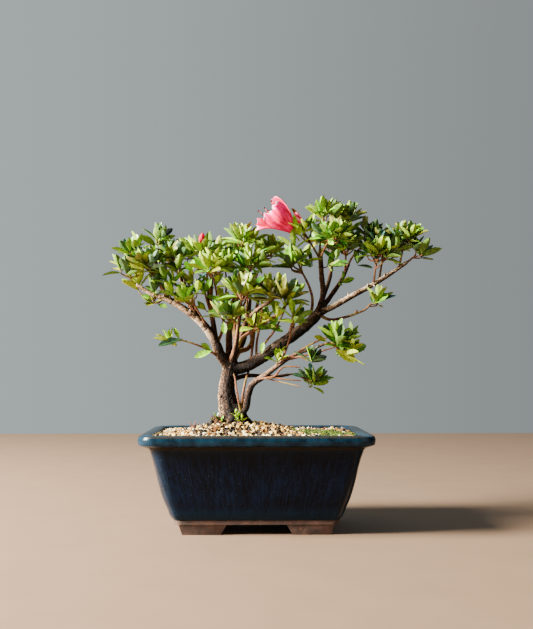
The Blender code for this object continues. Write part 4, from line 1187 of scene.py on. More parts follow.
MASS_LEAVES = {"left_under": 0.46, "low_left": 0.72, "second_low": 0.8}         # smaller leaves
MASS_STEMS = {"low_right": 1.5, "low_left": 1.2, "gap_sprig": 1.5}              # and thicker stems
STEM_ENTRY = 3.0 * MM           # how far a stem runs on from its limb's tip before it may bend
STEM_LEAST = 5.0 * MM           # least length of a stem before its shoots fan out
HUB_DEPTH = 0.6                 # how deep in its mass they do, as a share of its mean half size
TWIG_STEP = 2.2 * MM            # from one shoot to the next along the stem
SHOOT_TILTS = (14.0, 82.0, 59.0)            # degrees off the stem's way: the first shoot, then the others
FILLING_TILTS = (38.0, 74.0, 100.0, 52.0)   # and those that only this script grows
FILLING_SHARE = 0.25            # how many of them for each of the solid's shoots
FILLING_REACH = (0.5, 1.0)
SHOOT_WAY = (0.5, 0.62, 0.18)   # how much of a shoot's end points outwards, up and along the mass
SHOOT_DROP = 3.0 * MM
SHOOT_LENGTH = 5.5 * MM
SHOOT_SHARE = 0.45              # the most of a shoot that its upright end takes
LEAF_ROOM = 9.0 * MM            # how far a shoot's end stays inside the edge of its mass
LEAST_ROOM = 1.2 * MM
LEAF_REACH = 1.56               # how far past the edge a leaf's tip may be, as a share of the mass
LEAF_TOP = 1.28                 # how much less of that there is upwards
GOLDEN = math.pi * (3.0 - math.sqrt(5.0))
STEM_RADIUS, SHOOT_RADIUS, TIP_RADIUS = 1.15 * MM, 0.75 * MM, 0.5 * MM
TWIG_SPACING = 3.0 * MM         # from one ring to the next along a twig
SIDE_SHARE = 0.25               # share of the shoots that carry a side twig
CROWN_FLOOR = spot(0, 0, 195).z
BRIDGE_SPAN = 42.0 * MM         # masses nearer than this have a twig between them too
BRIDGE_RISE = 7.0 * MM
BRIDGE_SIZES = Vector((16.0, 16.0, 13.0)) * MM
GAP_X = (20.0, 33.0)            # the open gap between the two lobes of the crown, which no twig bridges
RISER_SHARES = (0.62, 0.4)      # how far along a mass's limb its extra thin stems rise
RISER_LEAST, RISER_SKIPPED = 22.0 * MM, 0.25            # their least length, and the share that is left out
RISER_LIMBS = ("left_inner_bough", "left_back_bough", "rising_stem", "centre_bough", "front_bough",
               "back_bough", "left_riser", "centre_right_bough", "right_back_bough")
INNER_STEMS = [                 # thin stems that cross inside the fork: points, radius at the root and tip
    ([(-17, -8, 160), (-14, -10, 168), (-2, -18, 176), (10, -24, 184), (20, -28, 191),
      (26, -31, 198)], 1.9, 1.0),
    ([(-22, 1, 148), (-16, 5, 157), (-8, 7, 160), (-5, 7, 164), (-3, 7, 172), (-2, 8, 186),
      (2, 8, 206), (6, 8, 226)], 2.5, 1.1),
    ([(-6, 0, 146), (-4, -3, 161), (-6, -7, 176), (-9, -12, 195), (-7, -16, 215)], 1.2, 0.7),
    ([(0, -3, 150), (0, -4, 163), (3, -7, 181), (5, -11, 204), (0, -14, 222)], 1.2, 0.7),
    ([(4, -5, 155), (5, -8, 160), (15, -12, 174), (22, -15, 187), (28, -17, 204), (32, -18, 222)], 1.2, 0.7),
    ([(-14, -8, 101), (-13.4, -11, 111), (-11.4, -12, 123), (-9.6, -5, 132), (-6, 6, 143), (-4, 8, 157),
      (-2, 8, 170)], 1.25, 0.9),
    ([(-14, -9, 103), (-16, -12, 112), (-18.4, -10.6, 126), (-19.5, -7.4, 134), (-23, -2, 142)], 1.15, 0.9),
    ([(-2.3, -14, 132), (7, -22, 133), (16, -25, 135), (22, -29, 142), (38, -33, 143)], 1.1, 0.7),
    ([(14, -23, 134), (26, -27, 132), (39, -28, 131)], 0.9, 0.6),
    ([(4, -17, 134), (20, -24, 130), (38, -30, 126)], 0.8, 0.5),
    ([(-85, -15, 205), (-87.5, -17, 200.2), (-91, -18, 200), (-93, -18, 203.5)], 1.0, 0.6),
    ([(32, -28, 153), (46, -33, 162), (58, -36, 167.5), (66, -38, 170)], 1.2, 0.7),
    ([(26, -26, 149), (42, -32, 153), (56, -36, 156.5), (70, -38, 161)], 1.2, 0.6),
    ([(89, -17, 190.5), (90, -17.5, 194.3)], 1.3, 0.8),
    ([(-22, 2, 150), (-20, 12, 164), (-22, 22, 184), (-20, 34, 214), (-14, 44, 236)], 1.7, 0.9),
    ([(-36, -5, 163), (-31, 2, 178), (-30, 8, 198), (-28, 16, 222), (-30, 24, 240)], 1.6, 0.8),
]
SPRIGS = [                      # shoots on old wood: limb, how far along, way, length, leaves, their size
    ("right_bough", 0.70, (0.4, -0.6, 0.8), 5.0, 3, 0.6),
    ("centre_bough", 0.42, (0.4, -0.8, 0.6), 6.0, 4, 0.75),
    ("second_stem", 0.58, (0.2, -0.7, 0.9), 6.0, 5, 0.75),
    ("rising_stem", 0.5, (-0.9, -0.3, 0.6), 5.0, 4, 0.66),
    ("right_fan", 0.55, (0.5, -0.7, 0.5), 6.0, 4, 0.7),
    ("right_upright", 0.75, (0.7, -0.6, 0.2), 7.0, 4, 0.8),
]
PLACED_LEAVES = [               # single leaves that stand out in the photograph: root, tip, width, kind
    ((-66, -15, 168), (-88, -18, 161.5), 1.0, 3), ((-69, -16, 168), (-74, -18, 178), 1.0, 5),
    ((-40.5, -10, 157.3), (-55.7, -13, 151.2), 1.35, 5), ((-41, -10, 157.6), (-50, -13, 164), 1.5, 5),
    ((-25, -20, 188), (-43.5, -23, 192), 1.1, 1), ((-24, -20, 189), (-25, -23, 202), 1.1, 5),
    ((-23, -20, 188), (-17, -24, 181), 1.1, 5), ((-23, -20, 189), (-14, -23, 194), 1.2, 5),
    ((-30, -12, 184), (-28.5, -14, 172.5), 1.3, 5), ((4.4, -10, 155), (6.5, -12, 165.5), 1.2, 5),
    ((-58, -27, 227), (-64, -31, 236), 1.4, 5), ((-58, -27, 227), (-55, -31, 238), 1.3, 5),
    ((23.4, -24, 151), (13.5, -28, 156.5), 1.1, 3), ((30, -30, 137), (40, -33, 134.5), 1.1, 3),
    ((-92, -18, 203.5), (-103.4, -20, 206.2), 1.3, 5), ((-91, -18, 200.3), (-98.4, -22, 198), 1.9, 4),
    ((-88.4, -18, 198.7), (-79.6, -20, 196), 1.5, 1), ((-90.6, -17, 206.5), (-92.2, -18, 214.2), 1.3, 5),
    ((69, -37, 158), (86, -40, 147.1), 1.5, 4), ((67.5, -38, 162.8), (87.9, -40, 161.2), 1.35, 1),
    ((72, -38, 167), (84.5, -41, 172.4), 1.7, 2), ((65.9, -38, 170), (74.6, -40, 179), 1.5, 1),
    ((62, -37, 168), (58.8, -39, 180.1), 1.4, 3), ((61.2, -37, 165), (49.5, -39, 169.5), 1.3, 4),
    ((105, -18, 200), (118, -20, 208.5), 1.6, 1), ((104, -18, 200), (105, -20, 211), 1.2, 2),
]
INNER_TUFTS = [                 # rosettes on the inner stems: place, way, size
    ((18, -26, 187), (0.3, -0.5, 1.0), 1.0), ((12, -20, 178), (0.3, -0.8, 0.3), 0.8),
    ((-3, -20, 180), (-0.3, -0.6, 0.9), 0.75), ((4, -12, 201), (0.1, -0.5, 1.0), 0.9),
    ((-8, -17, 209), (-0.3, -0.4, 1.0), 0.8), ((29, -18, 205), (0.4, -0.4, 1.0), 0.9),
    ((2, 9, 208), (0.3, 0.3, 1.0), 0.9), ((-5, 8, 184), (-0.3, 0.4, 0.9), 0.7),
    ((22, -27, 157), (0.0, -0.7, 0.8), 0.6), ((-30, 8, 205), (-0.3, 0.1, 1.0), 0.8),
    ((-21, 24, 190), (0.1, 0.6, 0.9), 0.85), ((26, -31, 199), (0.5, -0.5, 0.9), 0.95),
    ((-58, -14, 219), (-0.4, -0.6, 0.9), 0.95), ((-47, -16, 209), (-0.1, -0.8, 0.8), 0.85),
    ((-37, -14, 216), (0.3, -0.5, 1.0), 0.95), ((72, -14, 240), (0.3, -0.6, 0.8), 0.72),
    ((92, -12, 238), (0.3, -0.6, 0.8), 0.7), ((50, -14, 236), (-0.5, -0.6, 0.6), 0.8),
    ((-30, -10, 200), (0.2, -0.4, 1.0), 0.85), ((-34, -8, 192), (0.2, -0.6, 0.8), 0.8),
]
LIME = 5                        # the kind of leaf that young shoots have
ODD_SHARE, ODD_KINDS = 0.06, (4, 7, 5)      # single odd leaves: olive, bluish as a painted reflection of the sky, and lime
BLOOM_ROOT = spot(31, -15, 265)
BLOOM_AXIS = (spot(13, -19, 281) - BLOOM_ROOT).normalized()
BLOOM_START, BLOOM_FLARE = 3.0 * MM, 0.62   # the room it needs: at the root, and how fast that widens
BLOOM_LENGTH = 34.0 * MM
BUD_PLACES = [spot(-51.5, -8, 254), spot(40.5, -5, 272)]
BUD_ROOM = 6.0 * MM
STALK_ROOTS = [spot(-49, -8, 243), spot(44, -9, 258), spot(39, -13, 257)]
SPROUTS = [                     # tiny rosettes round the trunk's foot
    (-35.5, -9, 97.5), (-16.5, -13.5, 97.5), (-13.0, -14.5, 96.0), (-18.5, -13, 101.0), (-31.0, -12, 94.0),
]
SPROUT_SIZE = 0.34

limb_tree = KDTree(sum(len(limb.route) for limb in limbs.values()))
limb_radii = []
for limb in limbs.values():
    for point, radius in zip(limb.route, limb.radii):
        limb_tree.insert(point, len(limb_radii))
        limb_radii.append(radius)
limb_tree.balance()

# %% The rule


def turned_to(direction):
    """The turn that brings +Z to a direction."""
    return direction.to_track_quat("Z", "Y").to_matrix()


def leaning(axis, tilt, bearing):
    """The direction that leans out from an axis by a tilt, on a bearing round it."""
    out = math.sin(tilt)
    return turned_to(axis) @ Vector((out * math.cos(bearing), out * math.sin(bearing), math.cos(tilt)))


def clear_of_limbs(point, gap=0.6 * MM):
    _, index, distance = limb_tree.find(point)
    return distance > limb_radii[index] + gap


def clear_of_flowers(point):
    """Whether a leaf's point stays out of the bloom's funnel and the buds."""
    ahead = (point - BLOOM_ROOT).dot(BLOOM_AXIS)
    out = (point - BLOOM_ROOT - BLOOM_AXIS * ahead).length
    if -2.0 * MM < ahead < BLOOM_LENGTH and out < BLOOM_START + BLOOM_FLARE * max(0.0, ahead):
        return False
    for place in BUD_PLACES:
        away = point - place - UP * BUD_ROOM
        if away.y < 0:              # nor may a leaf hide a bud from the front
            away.y *= 0.2
        if away.length < BUD_ROOM:
            return False
    return True


class Tip:
    """The end of a twig, where a rosette of leaves stands, within the room that its mass has."""

    def __init__(self, end, way, size, centre, sizes, leaves=0, kind=None):
        self.end = end
        self.way = way
        self.size = size
        self.centre = centre
        self.sizes = sizes
        self.leaves = leaves
        self.kind = kind

    def holds(self, point):
        away = [(a - b) / c for a, b, c in zip(point, self.centre, self.sizes)]
        away[2] *= LEAF_TOP if away[2] > 0 else 1.0
        return sum(share * share for share in away) <= LEAF_REACH ** 2


class Mass:
    """One mass: its twigs, each as points and radii, and its tips."""

    def __init__(self, name, number):
        self.carrier, self.share, centre, sizes, count = MASSES[name]
        self.kind = MASS_KINDS.get(name)
        self.leaf_size = MASS_LEAVES.get(name, 1.0)
        self.stem_size = MASS_STEMS.get(name, 1.0)
        self.rng = random.Random(number)
        self.centre = spot(*centre)
        self.sizes = Vector(sizes) * MM
        place, _, direction = limbs[self.carrier].at(self.share)
        stem = [place]
        if self.share == 1.0:
            stem = [place - direction * MM, place + direction * STEM_ENTRY]
        stem += [spot(*bend) for bend in TWIG_BENDS.get(name, [])]
        outward = (self.centre - stem[-1]).normalized()
        self.axis = (outward + UP).normalized()
        room = [max(size - LEAF_ROOM, LEAST_ROOM) for size in self.sizes]
        away = (self.centre - stem[-1]).length - HUB_DEPTH * sum(self.sizes) / 3
        self.hub = stem[-1] + outward * max(away, STEM_LEAST)
        down = stem[-1] - self.hub
        phase = self.rng.uniform(0, 2 * math.pi)
        filling = round(count * FILLING_SHARE)
        step = min(TWIG_STEP, 0.8 * down.length / count)
        self.twigs, self.tips = [], []
        for i in range(count + filling):
            if i < count:
                tilt, reach = SHOOT_TILTS[0 if i == 0 else 2 - i % 2], 1.0
            else:
                tilt = FILLING_TILTS[i % 4] * self.rng.uniform(0.9, 1.1)
                reach = self.rng.uniform(*FILLING_REACH)
            direction = leaning(self.axis, math.radians(tilt), phase + i * GOLDEN)
            end = self.centre + Vector([a * b * reach for a, b in zip(direction, room)]) - UP * SHOOT_DROP
            way = (direction * SHOOT_WAY[0] + UP * SHOOT_WAY[1] + self.axis * SHOOT_WAY[2]).normalized()
            start = [self.hub + down.normalized() * step * (i % count) * self.rng.uniform(0.8, 1.1)]
            self.grow_twig(stem + [self.hub] if i == 0 else start, end, way, i < count)

    def grow_twig(self, start, end, way, full):
        """A shoot from a start to its end, with a rosette there and often a side twig below it."""
        bend = end - way * min(SHOOT_LENGTH, SHOOT_SHARE * (end - start[-1]).length)
        bend.z = max(bend.z, min(start[-1].z, end.z))       # so that no shoot hangs in a hook
        points = smooth_route(start + [bend, end], TWIG_SPACING)
        thick = STEM_RADIUS * self.stem_size if len(start) > 1 else SHOOT_RADIUS
        self.add_twig(points, thick, TIP_RADIUS * self.stem_size)
        size = self.leaf_size * (1.0 if full else self.rng.uniform(0.78, 0.96))
        self.tips.append(Tip(end, way, size, self.centre, self.sizes, kind=self.kind))
        if self.rng.random() < SIDE_SHARE:
            side = leaning(way, math.radians(self.rng.uniform(45, 70)), self.rng.uniform(0, 2 * math.pi))
            side = (side + UP * 0.35).normalized()
            root = points[-3] if len(points) > 3 else points[0]
            tip = root + side * self.rng.uniform(5.0, 9.0) * MM
            if self.tips[-1].holds(tip) and clear_of_limbs(tip):
                self.add_twig([root, root.lerp(tip, 0.5) - UP * 0.4 * MM, tip], TIP_RADIUS, 0.36 * MM)
                size = self.leaf_size * self.rng.uniform(0.62, 0.84)
                self.tips.append(Tip(tip, side, size, self.centre, self.sizes))

    def add_twig(self, points, thick, thin):
        self.twigs.append((points, taper(points, thick, thin)))

    def bridge_to(self, other):
        """A twig that rises between this mass and a near one, so that the crown doesn't part into balls."""
        jitter = Vector([self.rng.uniform(-5.0, 5.0) for _ in range(3)]) * MM
        middle = self.centre.lerp(other.centre, self.rng.uniform(0.42, 0.58)) + jitter
        start = min(self.hub, other.hub, key=lambda hub: hub.z)
        way = ((middle - start).normalized() * 0.5 + UP).normalized()
        end = middle - UP * 4.0 * MM
        end.z = max(end.z, start.z + BRIDGE_RISE)
        if clear_of_limbs(end, 2.0 * MM):
            points = smooth_route([start, end - way * SHOOT_LENGTH, end], TWIG_SPACING)
            self.add_twig(points, SHOOT_RADIUS, TIP_RADIUS)
            self.tips.append(Tip(end, way, self.rng.uniform(0.78, 0.98), middle, BRIDGE_SIZES))

    def add_risers(self):
        """Thin stems that leave the mass's limb lower down and rise beside it, as a pruned azalea's do."""
        limb = limbs[self.carrier]
        for share in RISER_SHARES if self.carrier in RISER_LIMBS else ():
            start = limb.at(self.share * share * self.rng.uniform(0.85, 1.1))[0]
            length = (self.hub - start).length
            if length < RISER_LEAST or self.rng.random() < RISER_SKIPPED:
                continue
            bow = Vector((self.rng.uniform(-1, 1), self.rng.uniform(-1, 1), 0.5)) * length * 0.10
            points = smooth_route([start, start.lerp(self.hub, 0.45) + bow, self.hub], TWIG_SPACING)
            self.add_twig(points, 1.25 * MM, 0.7 * MM)


def in_gap(one, other):
    """Whether the crown's open gap lies between two places."""
    low, high = sorted((one.x, other.x))
    return low < spot(GAP_X[1], 0, 0).x and high > spot(GAP_X[0], 0, 0).x


masses = [Mass(name, number) for number, name in enumerate(MASSES)]
for number, mass in enumerate(masses):
    if mass.centre.z < CROWN_FLOOR:
        continue
    mass.add_risers()
    for other in masses[number + 1:]:
        near = (mass.centre - other.centre).length < BRIDGE_SPAN
        if near and other.centre.z > CROWN_FLOOR and not in_gap(mass.centre, other.centre):
            mass.bridge_to(other)
print(sum(len(mass.twigs) for mass in masses), "twigs and", sum(len(mass.tips) for mass in masses), "tips")

# %% [markdown]
# An azalea's leaf is a small pointed ellipse that folds up a little along its rib and droops at its tip. It
# is modelled as a grid, three faces across so that the rib is a strip of its own, with a second skin below.
# Young leaves fold more, and old ones droop more, so there are a few shapes. A shape has a few dozen faces,
# as it is copied over a thousand times.

# %% Leaf shapes
LEAF_ROWS = [(0.0, 0.08), (0.12, 0.26), (0.30, 0.72), (0.54, 1.0), (0.75, 0.84), (0.91, 0.42), (1.0, 0.0)]
RIB_SHARE = 0.07
LEAF_HALF_WIDTH = 0.19          # as a share of the length
LEAF_THICK = 0.016
LEAF_SHAPES = [(0.66, -0.10), (0.48, 0.0), (0.34, 0.10), (0.20, 0.20), (0.56, -0.18)]     # fold and droop
TOP, RIB, UNDERSIDE = 0, 1, 2


def make_leaf(fold, droop):
    """A leaf of unit length along +Y, with its upper side towards +Z."""
    rows = len(LEAF_ROWS) - 1
    bpy.ops.mesh.primitive_grid_add(x_subdivisions=3, y_subdivisions=rows, size=1.0)
    leaf = bpy.context.object
    for vertex in leaf.data.vertices:
        column, row = round((vertex.co.x + 0.5) * 3), round((vertex.co.y + 0.5) * rows)
        along, width = LEAF_ROWS[row]
        across = (-1.0, -RIB_SHARE, RIB_SHARE, 1.0)[column] * width * LEAF_HALF_WIDTH
        vertex.co = (across, along, abs(across) * fold - droop * along ** 2)
    open_piece(leaf)
    pick_all()
    bpy.ops.mesh.duplicate()
    bpy.ops.mesh.flip_normals()
    mesh = bmesh.from_edit_mesh(leaf.data)
    for vertex in mesh.verts:
        if vertex.select and not vertex.is_boundary:
            vertex.co.z -= LEAF_THICK * (2.0 if abs(vertex.co.x) < 0.03 else 1.0)
    bmesh.update_edit_mesh(leaf.data)
    pick_all()
    bpy.ops.mesh.remove_doubles(threshold=0.0005)
    close_piece()
    for face in leaf.data.polygons:
        widest = max(abs(leaf.data.vertices[corner].co.x) for corner in face.vertices)
        if face.normal.z < 0:
            face.material_index = UNDERSIDE
        else:
            face.material_index = RIB if widest < LEAF_HALF_WIDTH * RIB_SHARE * 1.01 else TOP
    return shape_of(leaf)


leaf_shapes = [make_leaf(*shape) for shape in LEAF_SHAPES]
print("a leaf has", len(leaf_shapes[0][1]), "faces")

# %% [markdown]
# Each rosette has leaves of one kind. Lime and fresh green ones stand where nothing shades them, and dark
# glossy ones, a year old, stand deeper in. So each tip counts the tips above it, towards the window, and its
# kind is drawn by that, which also paints the crown's shade into the leaves: the more shaded a tip, the
# darker its leaves, as painted shade. A few bluish leaves are a painted reflection of the sky. The undersides
# are a paler, duller green, and they show where young leaves stand up.

# %% Rosettes
LEAF_LENGTH = 22.0 * MM
LEAF_KINDS = [                  # upper side, rib, underside, roughness, how common in light and in shade
    ((162, 204, 0), (214, 232, 44), (166, 192, 40), 0.36, 38, 12),
    ((102, 166, 2), (160, 204, 40), (138, 172, 46), 0.34, 34, 26),
    ((46, 108, 10), (98, 148, 40), (102, 142, 46), 0.30, 17, 30),
    ((10, 38, 16), (50, 90, 40), (66, 102, 52), 0.25, 11, 36),
    ((126, 132, 8), (170, 172, 50), (146, 152, 60), 0.38, 8, 7),
    ((130, 200, 0), (188, 222, 34), (146, 198, 30), 0.36, 7, 2),
    ((84, 140, 8), (136, 180, 40), (120, 156, 46), 0.34, 0, 0),
    # the last kind's bluish top is a painted reflection of the sky on glossy leaves
    ((64, 122, 112), (108, 152, 138), (98, 138, 98), 0.24, 5, 4),
]
FINISHES_A_KIND = 3
BLOTCH_DARK = 0.72              # a leaf's darker blotches, as a share of its colour
# painted shade: the more tips stand between a tip and the window, the darker the kinds of its leaves
SHADE_REACH = 34.0 * MM
SHADE_CONE = 0.6                # the cosine of how far off the window's way a tip still shades
SHADE_FULL = 12                 # so many tips above one leave it in full shade
WINDOW_WAY = Vector((-0.76, -0.2, 0.62))
OUTER_TILT, TILT_LESS = 70, 46  # degrees that a rosette's lowest leaf leans out, and the top one less
LENGTH_LESS = 0.24
LEAF_FITS = (1.0, 0.86, 0.72)   # where a leaf doesn't fit, it is tried at these shares of its length
LEAF_COUNTS, SMALL_COUNTS = (5, 6, 6, 7), (4, 5, 5)     # of a full rosette, and of a small one
UPPER_SHAPES, LOWER_SHAPES = (0, 1, 4), (1, 2, 2, 3)    # numbers in LEAF_SHAPES


def leaf_matrix(root, direction, face, length, width):
    """Turns a leaf shape's +Y to a direction and its +Z towards the side that its face looks."""
    across = direction.cross(face).normalized()
    upper = across.cross(direction)
    turn = Matrix((across * length * width, direction * length, upper * length)).transposed().to_4x4()
    return Matrix.Translation(root) @ turn


def shade_of(tip, tips):
    """From 0 in the open to 1 under many other tips."""
    above = 0
    for other in tips:
        away = other.end - tip.end
        if 3.0 * MM < away.length < SHADE_REACH and away.normalized().dot(WINDOW_WAY) > SHADE_CONE:
            above += 1
    return min(1.0, above / SHADE_FULL)


def grow_rosette(tip, shade, rng):
    """The placings of one rosette's leaves, the lowest first: they lean out most and are the longest."""
    # darker kinds where the tip is more shaded: painted shade
    weights = [lit + (dim - lit) * shade for *_, lit, dim in LEAF_KINDS]
    kind = rng.choices(range(len(LEAF_KINDS)), weights)[0]
    if tip.kind is not None and (tip.kind == LIME or rng.random() < KIND_KEPT):
        kind = tip.kind
    count = tip.leaves or rng.choice(LEAF_COUNTS if tip.size > 0.9 else SMALL_COUNTS)
    phase = rng.uniform(0, 2 * math.pi)
    spread = rng.uniform(0.82, 1.12)
    placings = []
    for i in range(count):
        share = i / max(1, count - 1)
        leaf_tilt = math.radians(OUTER_TILT - TILT_LESS * share) * spread * rng.uniform(0.8, 1.15)
        direction = leaning(tip.way, leaf_tilt, phase + i * GOLDEN + rng.uniform(-0.2, 0.2))
        length = LEAF_LENGTH * tip.size * (1.0 - LENGTH_LESS * share) * rng.uniform(0.88, 1.08)
        root = tip.end - tip.way * 0.8 * MM * (count - 1 - i)
        for fit in LEAF_FITS:
            end = root + direction * length * fit
            middle = root.lerp(end, 0.6)
            open_way = clear_of_limbs(end) and clear_of_limbs(middle)
            if tip.holds(end) and open_way and clear_of_flowers(end) and clear_of_flowers(middle):
                sideways = leaning(tip.way, math.pi / 2, rng.uniform(0, 2 * math.pi))
                face = (tip.way + sideways * 0.2).normalized()
                shape = rng.choice(UPPER_SHAPES if share > 0.5 else LOWER_SHAPES)
                own = kind if rng.random() < 0.8 else rng.choice((max(0, kind - 1), 1))
                own = rng.choice(ODD_KINDS) if rng.random() < ODD_SHARE else own
                matrix = leaf_matrix(root, direction, face, length * fit, rng.uniform(0.88, 1.12))
                placings.append((shape, matrix, own * FINISHES_A_KIND))
                break
    return placings


def leaf_finish(name, colour, shade, rough, gloss):
    leaf = Finish(name, {"Specular IOR Level": gloss})
    blotch = leaf.grain(leaf.where(), 0.5)
    fine = leaf.grain(leaf.where(), 2.2, detail=2.0)
    return leaf.put(Base_Color=leaf.mix(leaf.fade(blotch, 0.3, 0.7), shade, colour),
                    Roughness=rough + blotch * 0.14, Normal=leaf.bump(fine, 0.08))


def leaf_finishes():
    finishes = []
    for number, (top, rib, below, rough, _, _) in enumerate(LEAF_KINDS):
        for part, colour, own_rough, gloss in (("top", top, rough, 0.5), ("rib", rib, rough + 0.1, 0.4),
                                               ("under", below, 0.55, 0.3)):
            shade = [value * BLOTCH_DARK for value in colour]
            finishes.append(leaf_finish(f"leaf_{part}_{number}", colour, shade, own_rough, gloss))
    return finishes


tips = [tip for mass in masses for tip in mass.tips]
sprig_runs = []
for place in SPROUTS:
    tips.append(Tip(spot(*place), UP, SPROUT_SIZE, spot(*place), BRIDGE_SIZES))
for place, way, size in INNER_TUFTS:
    tips.append(Tip(spot(*place), Vector(way).normalized(), size, spot(*place), BRIDGE_SIZES * 1.3))
for carrier, share, way, length, count, size in SPRIGS:
    place, thick, _ = limbs[carrier].at(share)
    way = Vector(way).normalized()
    end = place + way * (thick + length * MM)
    sprig_runs.append(([place, place.lerp(end, 0.6) - UP * 0.5 * MM, end], [0.8 * MM, 0.55 * MM, 0.4 * MM]))
    tips.append(Tip(end, way, size, end, BRIDGE_SIZES, count, LIME if size < 0.65 else 1))
PLACED_FACE = Vector((-0.15, -0.75, 0.65))              # towards the camera and up
leaf_rng = random.Random(5)
placings = [placing for tip in tips for placing in grow_rosette(tip, shade_of(tip, tips), leaf_rng)]
for root, end, width, kind in PLACED_LEAVES:
    root, end = spot(*root), spot(*end)
    matrix = leaf_matrix(root, (end - root).normalized(), PLACED_FACE, (end - root).length, width)
    placings.append((1, matrix, kind * FINISHES_A_KIND))
print(len(placings), "leaves")
leaves = strew("leaves", leaf_shapes, placings)
deliver(smooth(leaves, 55), "leaves", "foliage", leaf_finishes(), *SOLID_MASSES)


def twig_finish():
    twig = Finish("young_bark", {"Specular IOR Level": 0.3})
    grain = twig.grain(twig.where(), 0.9, detail=4.0)
    patch = twig.grain(twig.where(), 0.13, detail=2.0)
    colour = twig.mix(twig.fade(grain, 0.3, 0.7), (32, 17, 9), (132, 78, 42))
    colour = twig.mix(twig.fade(patch, 0.52, 0.66) * 0.5, colour, (134, 130, 50))
    return twig.put(Base_Color=colour, Roughness=0.6 + grain * 0.25, Normal=twig.bump(grain, 0.2))


inner_runs = []
for points, root, tip in INNER_STEMS:
    route = smooth_route([spot(*point) for point in points], TWIG_SPACING)
    inner_runs.append((route, taper(route, root * MM, tip * MM)))
twigs = tubes("twigs", [twig for mass in masses for twig in mass.twigs] + sprig_runs + inner_runs, 1)
deliver(smooth(twigs, 60), "twigs", "bark", [twig_finish()], *SOLID_MASSES)

# %% [markdown]
# ## The bloom and the buds
# One bloom is open. Five petals are joined in a funnel that faces left, and part in lobes that ruffle and
# curl at their rims. A petal is a grid laid on the funnel: across it the grid turns round the bloom's axis,
# and along it the grid follows a profile, which is cupped on the upper side and spread flat below. The five
# are merged where they touch and then given their thickness.

# %% The funnel of petals
PETAL_GRID = (12, 20)
PETALS = [                      # bearing round the axis from its upper side, twist, tongue, profile outwards
    (200.0, (3.4, -3.8), 0.0,
     [(0.0, 1.5), (5.0, 3.4), (10.0, 6.2), (15.0, 9.4), (20.0, 12.9), (24.0, 15.8), (26.6, 17.4)]),
    (272.0, (0.0, 1.5), 0.1,
     [(0.0, 1.5), (4.0, 4.6), (9.0, 8.4), (14.0, 10.6), (19.0, 12.0), (23.0, 13.6), (25.0, 16.0)]),
    (344.0, (0.0, 3.0), 0.5,
     [(0.0, 1.5), (3.0, 6.0), (7.0, 10.4), (12.0, 12.9), (19.0, 14.2), (25.5, 14.6), (31.5, 13.4)]),
    (56.0, (0.0, -1.5), 0.0,
     [(0.0, 1.5), (3.5, 5.4), (8.0, 9.6), (13.0, 11.8), (19.0, 12.6), (24.0, 12.0), (28.0, 10.8)]),
    (128.0, (0.0, 1.5), 0.0,
     [(0.0, 1.5), (4.5, 4.4), (9.0, 7.6), (14.0, 9.6), (19.0, 10.4), (24.0, 10.2), (28.5, 9.4)]),
]
LOBES_START = 0.5               # how far along the petals part
PETAL_TURN = 36.0               # half of a petal's share of the full circle, in degrees
PETAL_THICK = 0.28 * MM
BLOOM_FRONT = Vector((0.0, -1.0, 0.0))
BLOOM_UPPER = BLOOM_FRONT.cross(BLOOM_AXIS).normalized() * -1.0
BLOOM_FRONT = BLOOM_AXIS.cross(BLOOM_UPPER) * (1 if BLOOM_AXIS.cross(BLOOM_UPPER).y < 0 else -1)


def along_profile(profile, share):
    """The distance along the axis and out from it, a share of the way along a profile."""
    place = share * (len(profile) - 1)
    step = min(int(place), len(profile) - 2)
    return Vector(profile[step]).lerp(Vector(profile[step + 1]), place - step)


def petal_point(number, across, share):
    """A point of a petal in metres, and how pale it is there, with painted shade in the seams and painted
    highlight at the rims.
    """
    bearing, twist, tongue, _ = PETALS[number]
    lobe = max(0.0, (share - LOBES_START) / (1 - LOBES_START))
    width = (1 - tongue * math.sin(math.pi / 2 * min(1.0, lobe * 1.7))) * max(0.0, 1 - lobe ** 3.2) ** 0.5
    angle = math.radians(bearing + PETAL_TURN * across * width)
    shared = Vector((0.0, 0.0))
    total = 0.0
    for other_bearing, _, _, profile in PETALS:     # near its sides a petal follows its neighbours' profiles
        apart = math.cos(angle - math.radians(other_bearing))
        weight = max(0.0, apart - 0.25) ** 3
        shared += along_profile(profile, share) * weight
        total += weight
    ahead, out = along_profile(PETALS[number][3], share).lerp(shared / total, 1 - 0.85 * lobe)
    ruffle = math.sin(across * 6.0 + number * 1.9) * 1.2 + across * across * (1.6 if number % 2 else -1.2)
    out += (ruffle + across * twist[1]) * lobe
    ahead += (math.cos(across * 7.0 + number * 2.3) * 0.9 + across * twist[0]) * lobe
    radial = BLOOM_UPPER * math.cos(angle) + BLOOM_FRONT * math.sin(angle)
    folds = bumps(angle * 6.0, share * 3.0, number) * 0.6
    seam_shade = math.exp(-((1 - abs(across)) * 7.0) ** 2) * (1 - lobe) * share
    # paler towards the lobes' rims, the petals' own margins and a painted highlight there; darker towards the
    # throat, and in the seams between petals as painted shade
    pale = 0.22 + 0.5 * lobe ** 3 + 0.45 * abs(across) ** 4 * lobe + folds
    pale -= 0.5 * seam_shade + 0.2 * (1 - share) ** 2
    return BLOOM_ROOT + (BLOOM_AXIS * ahead + radial * out) * MM, min(1.0, max(0.0, pale))


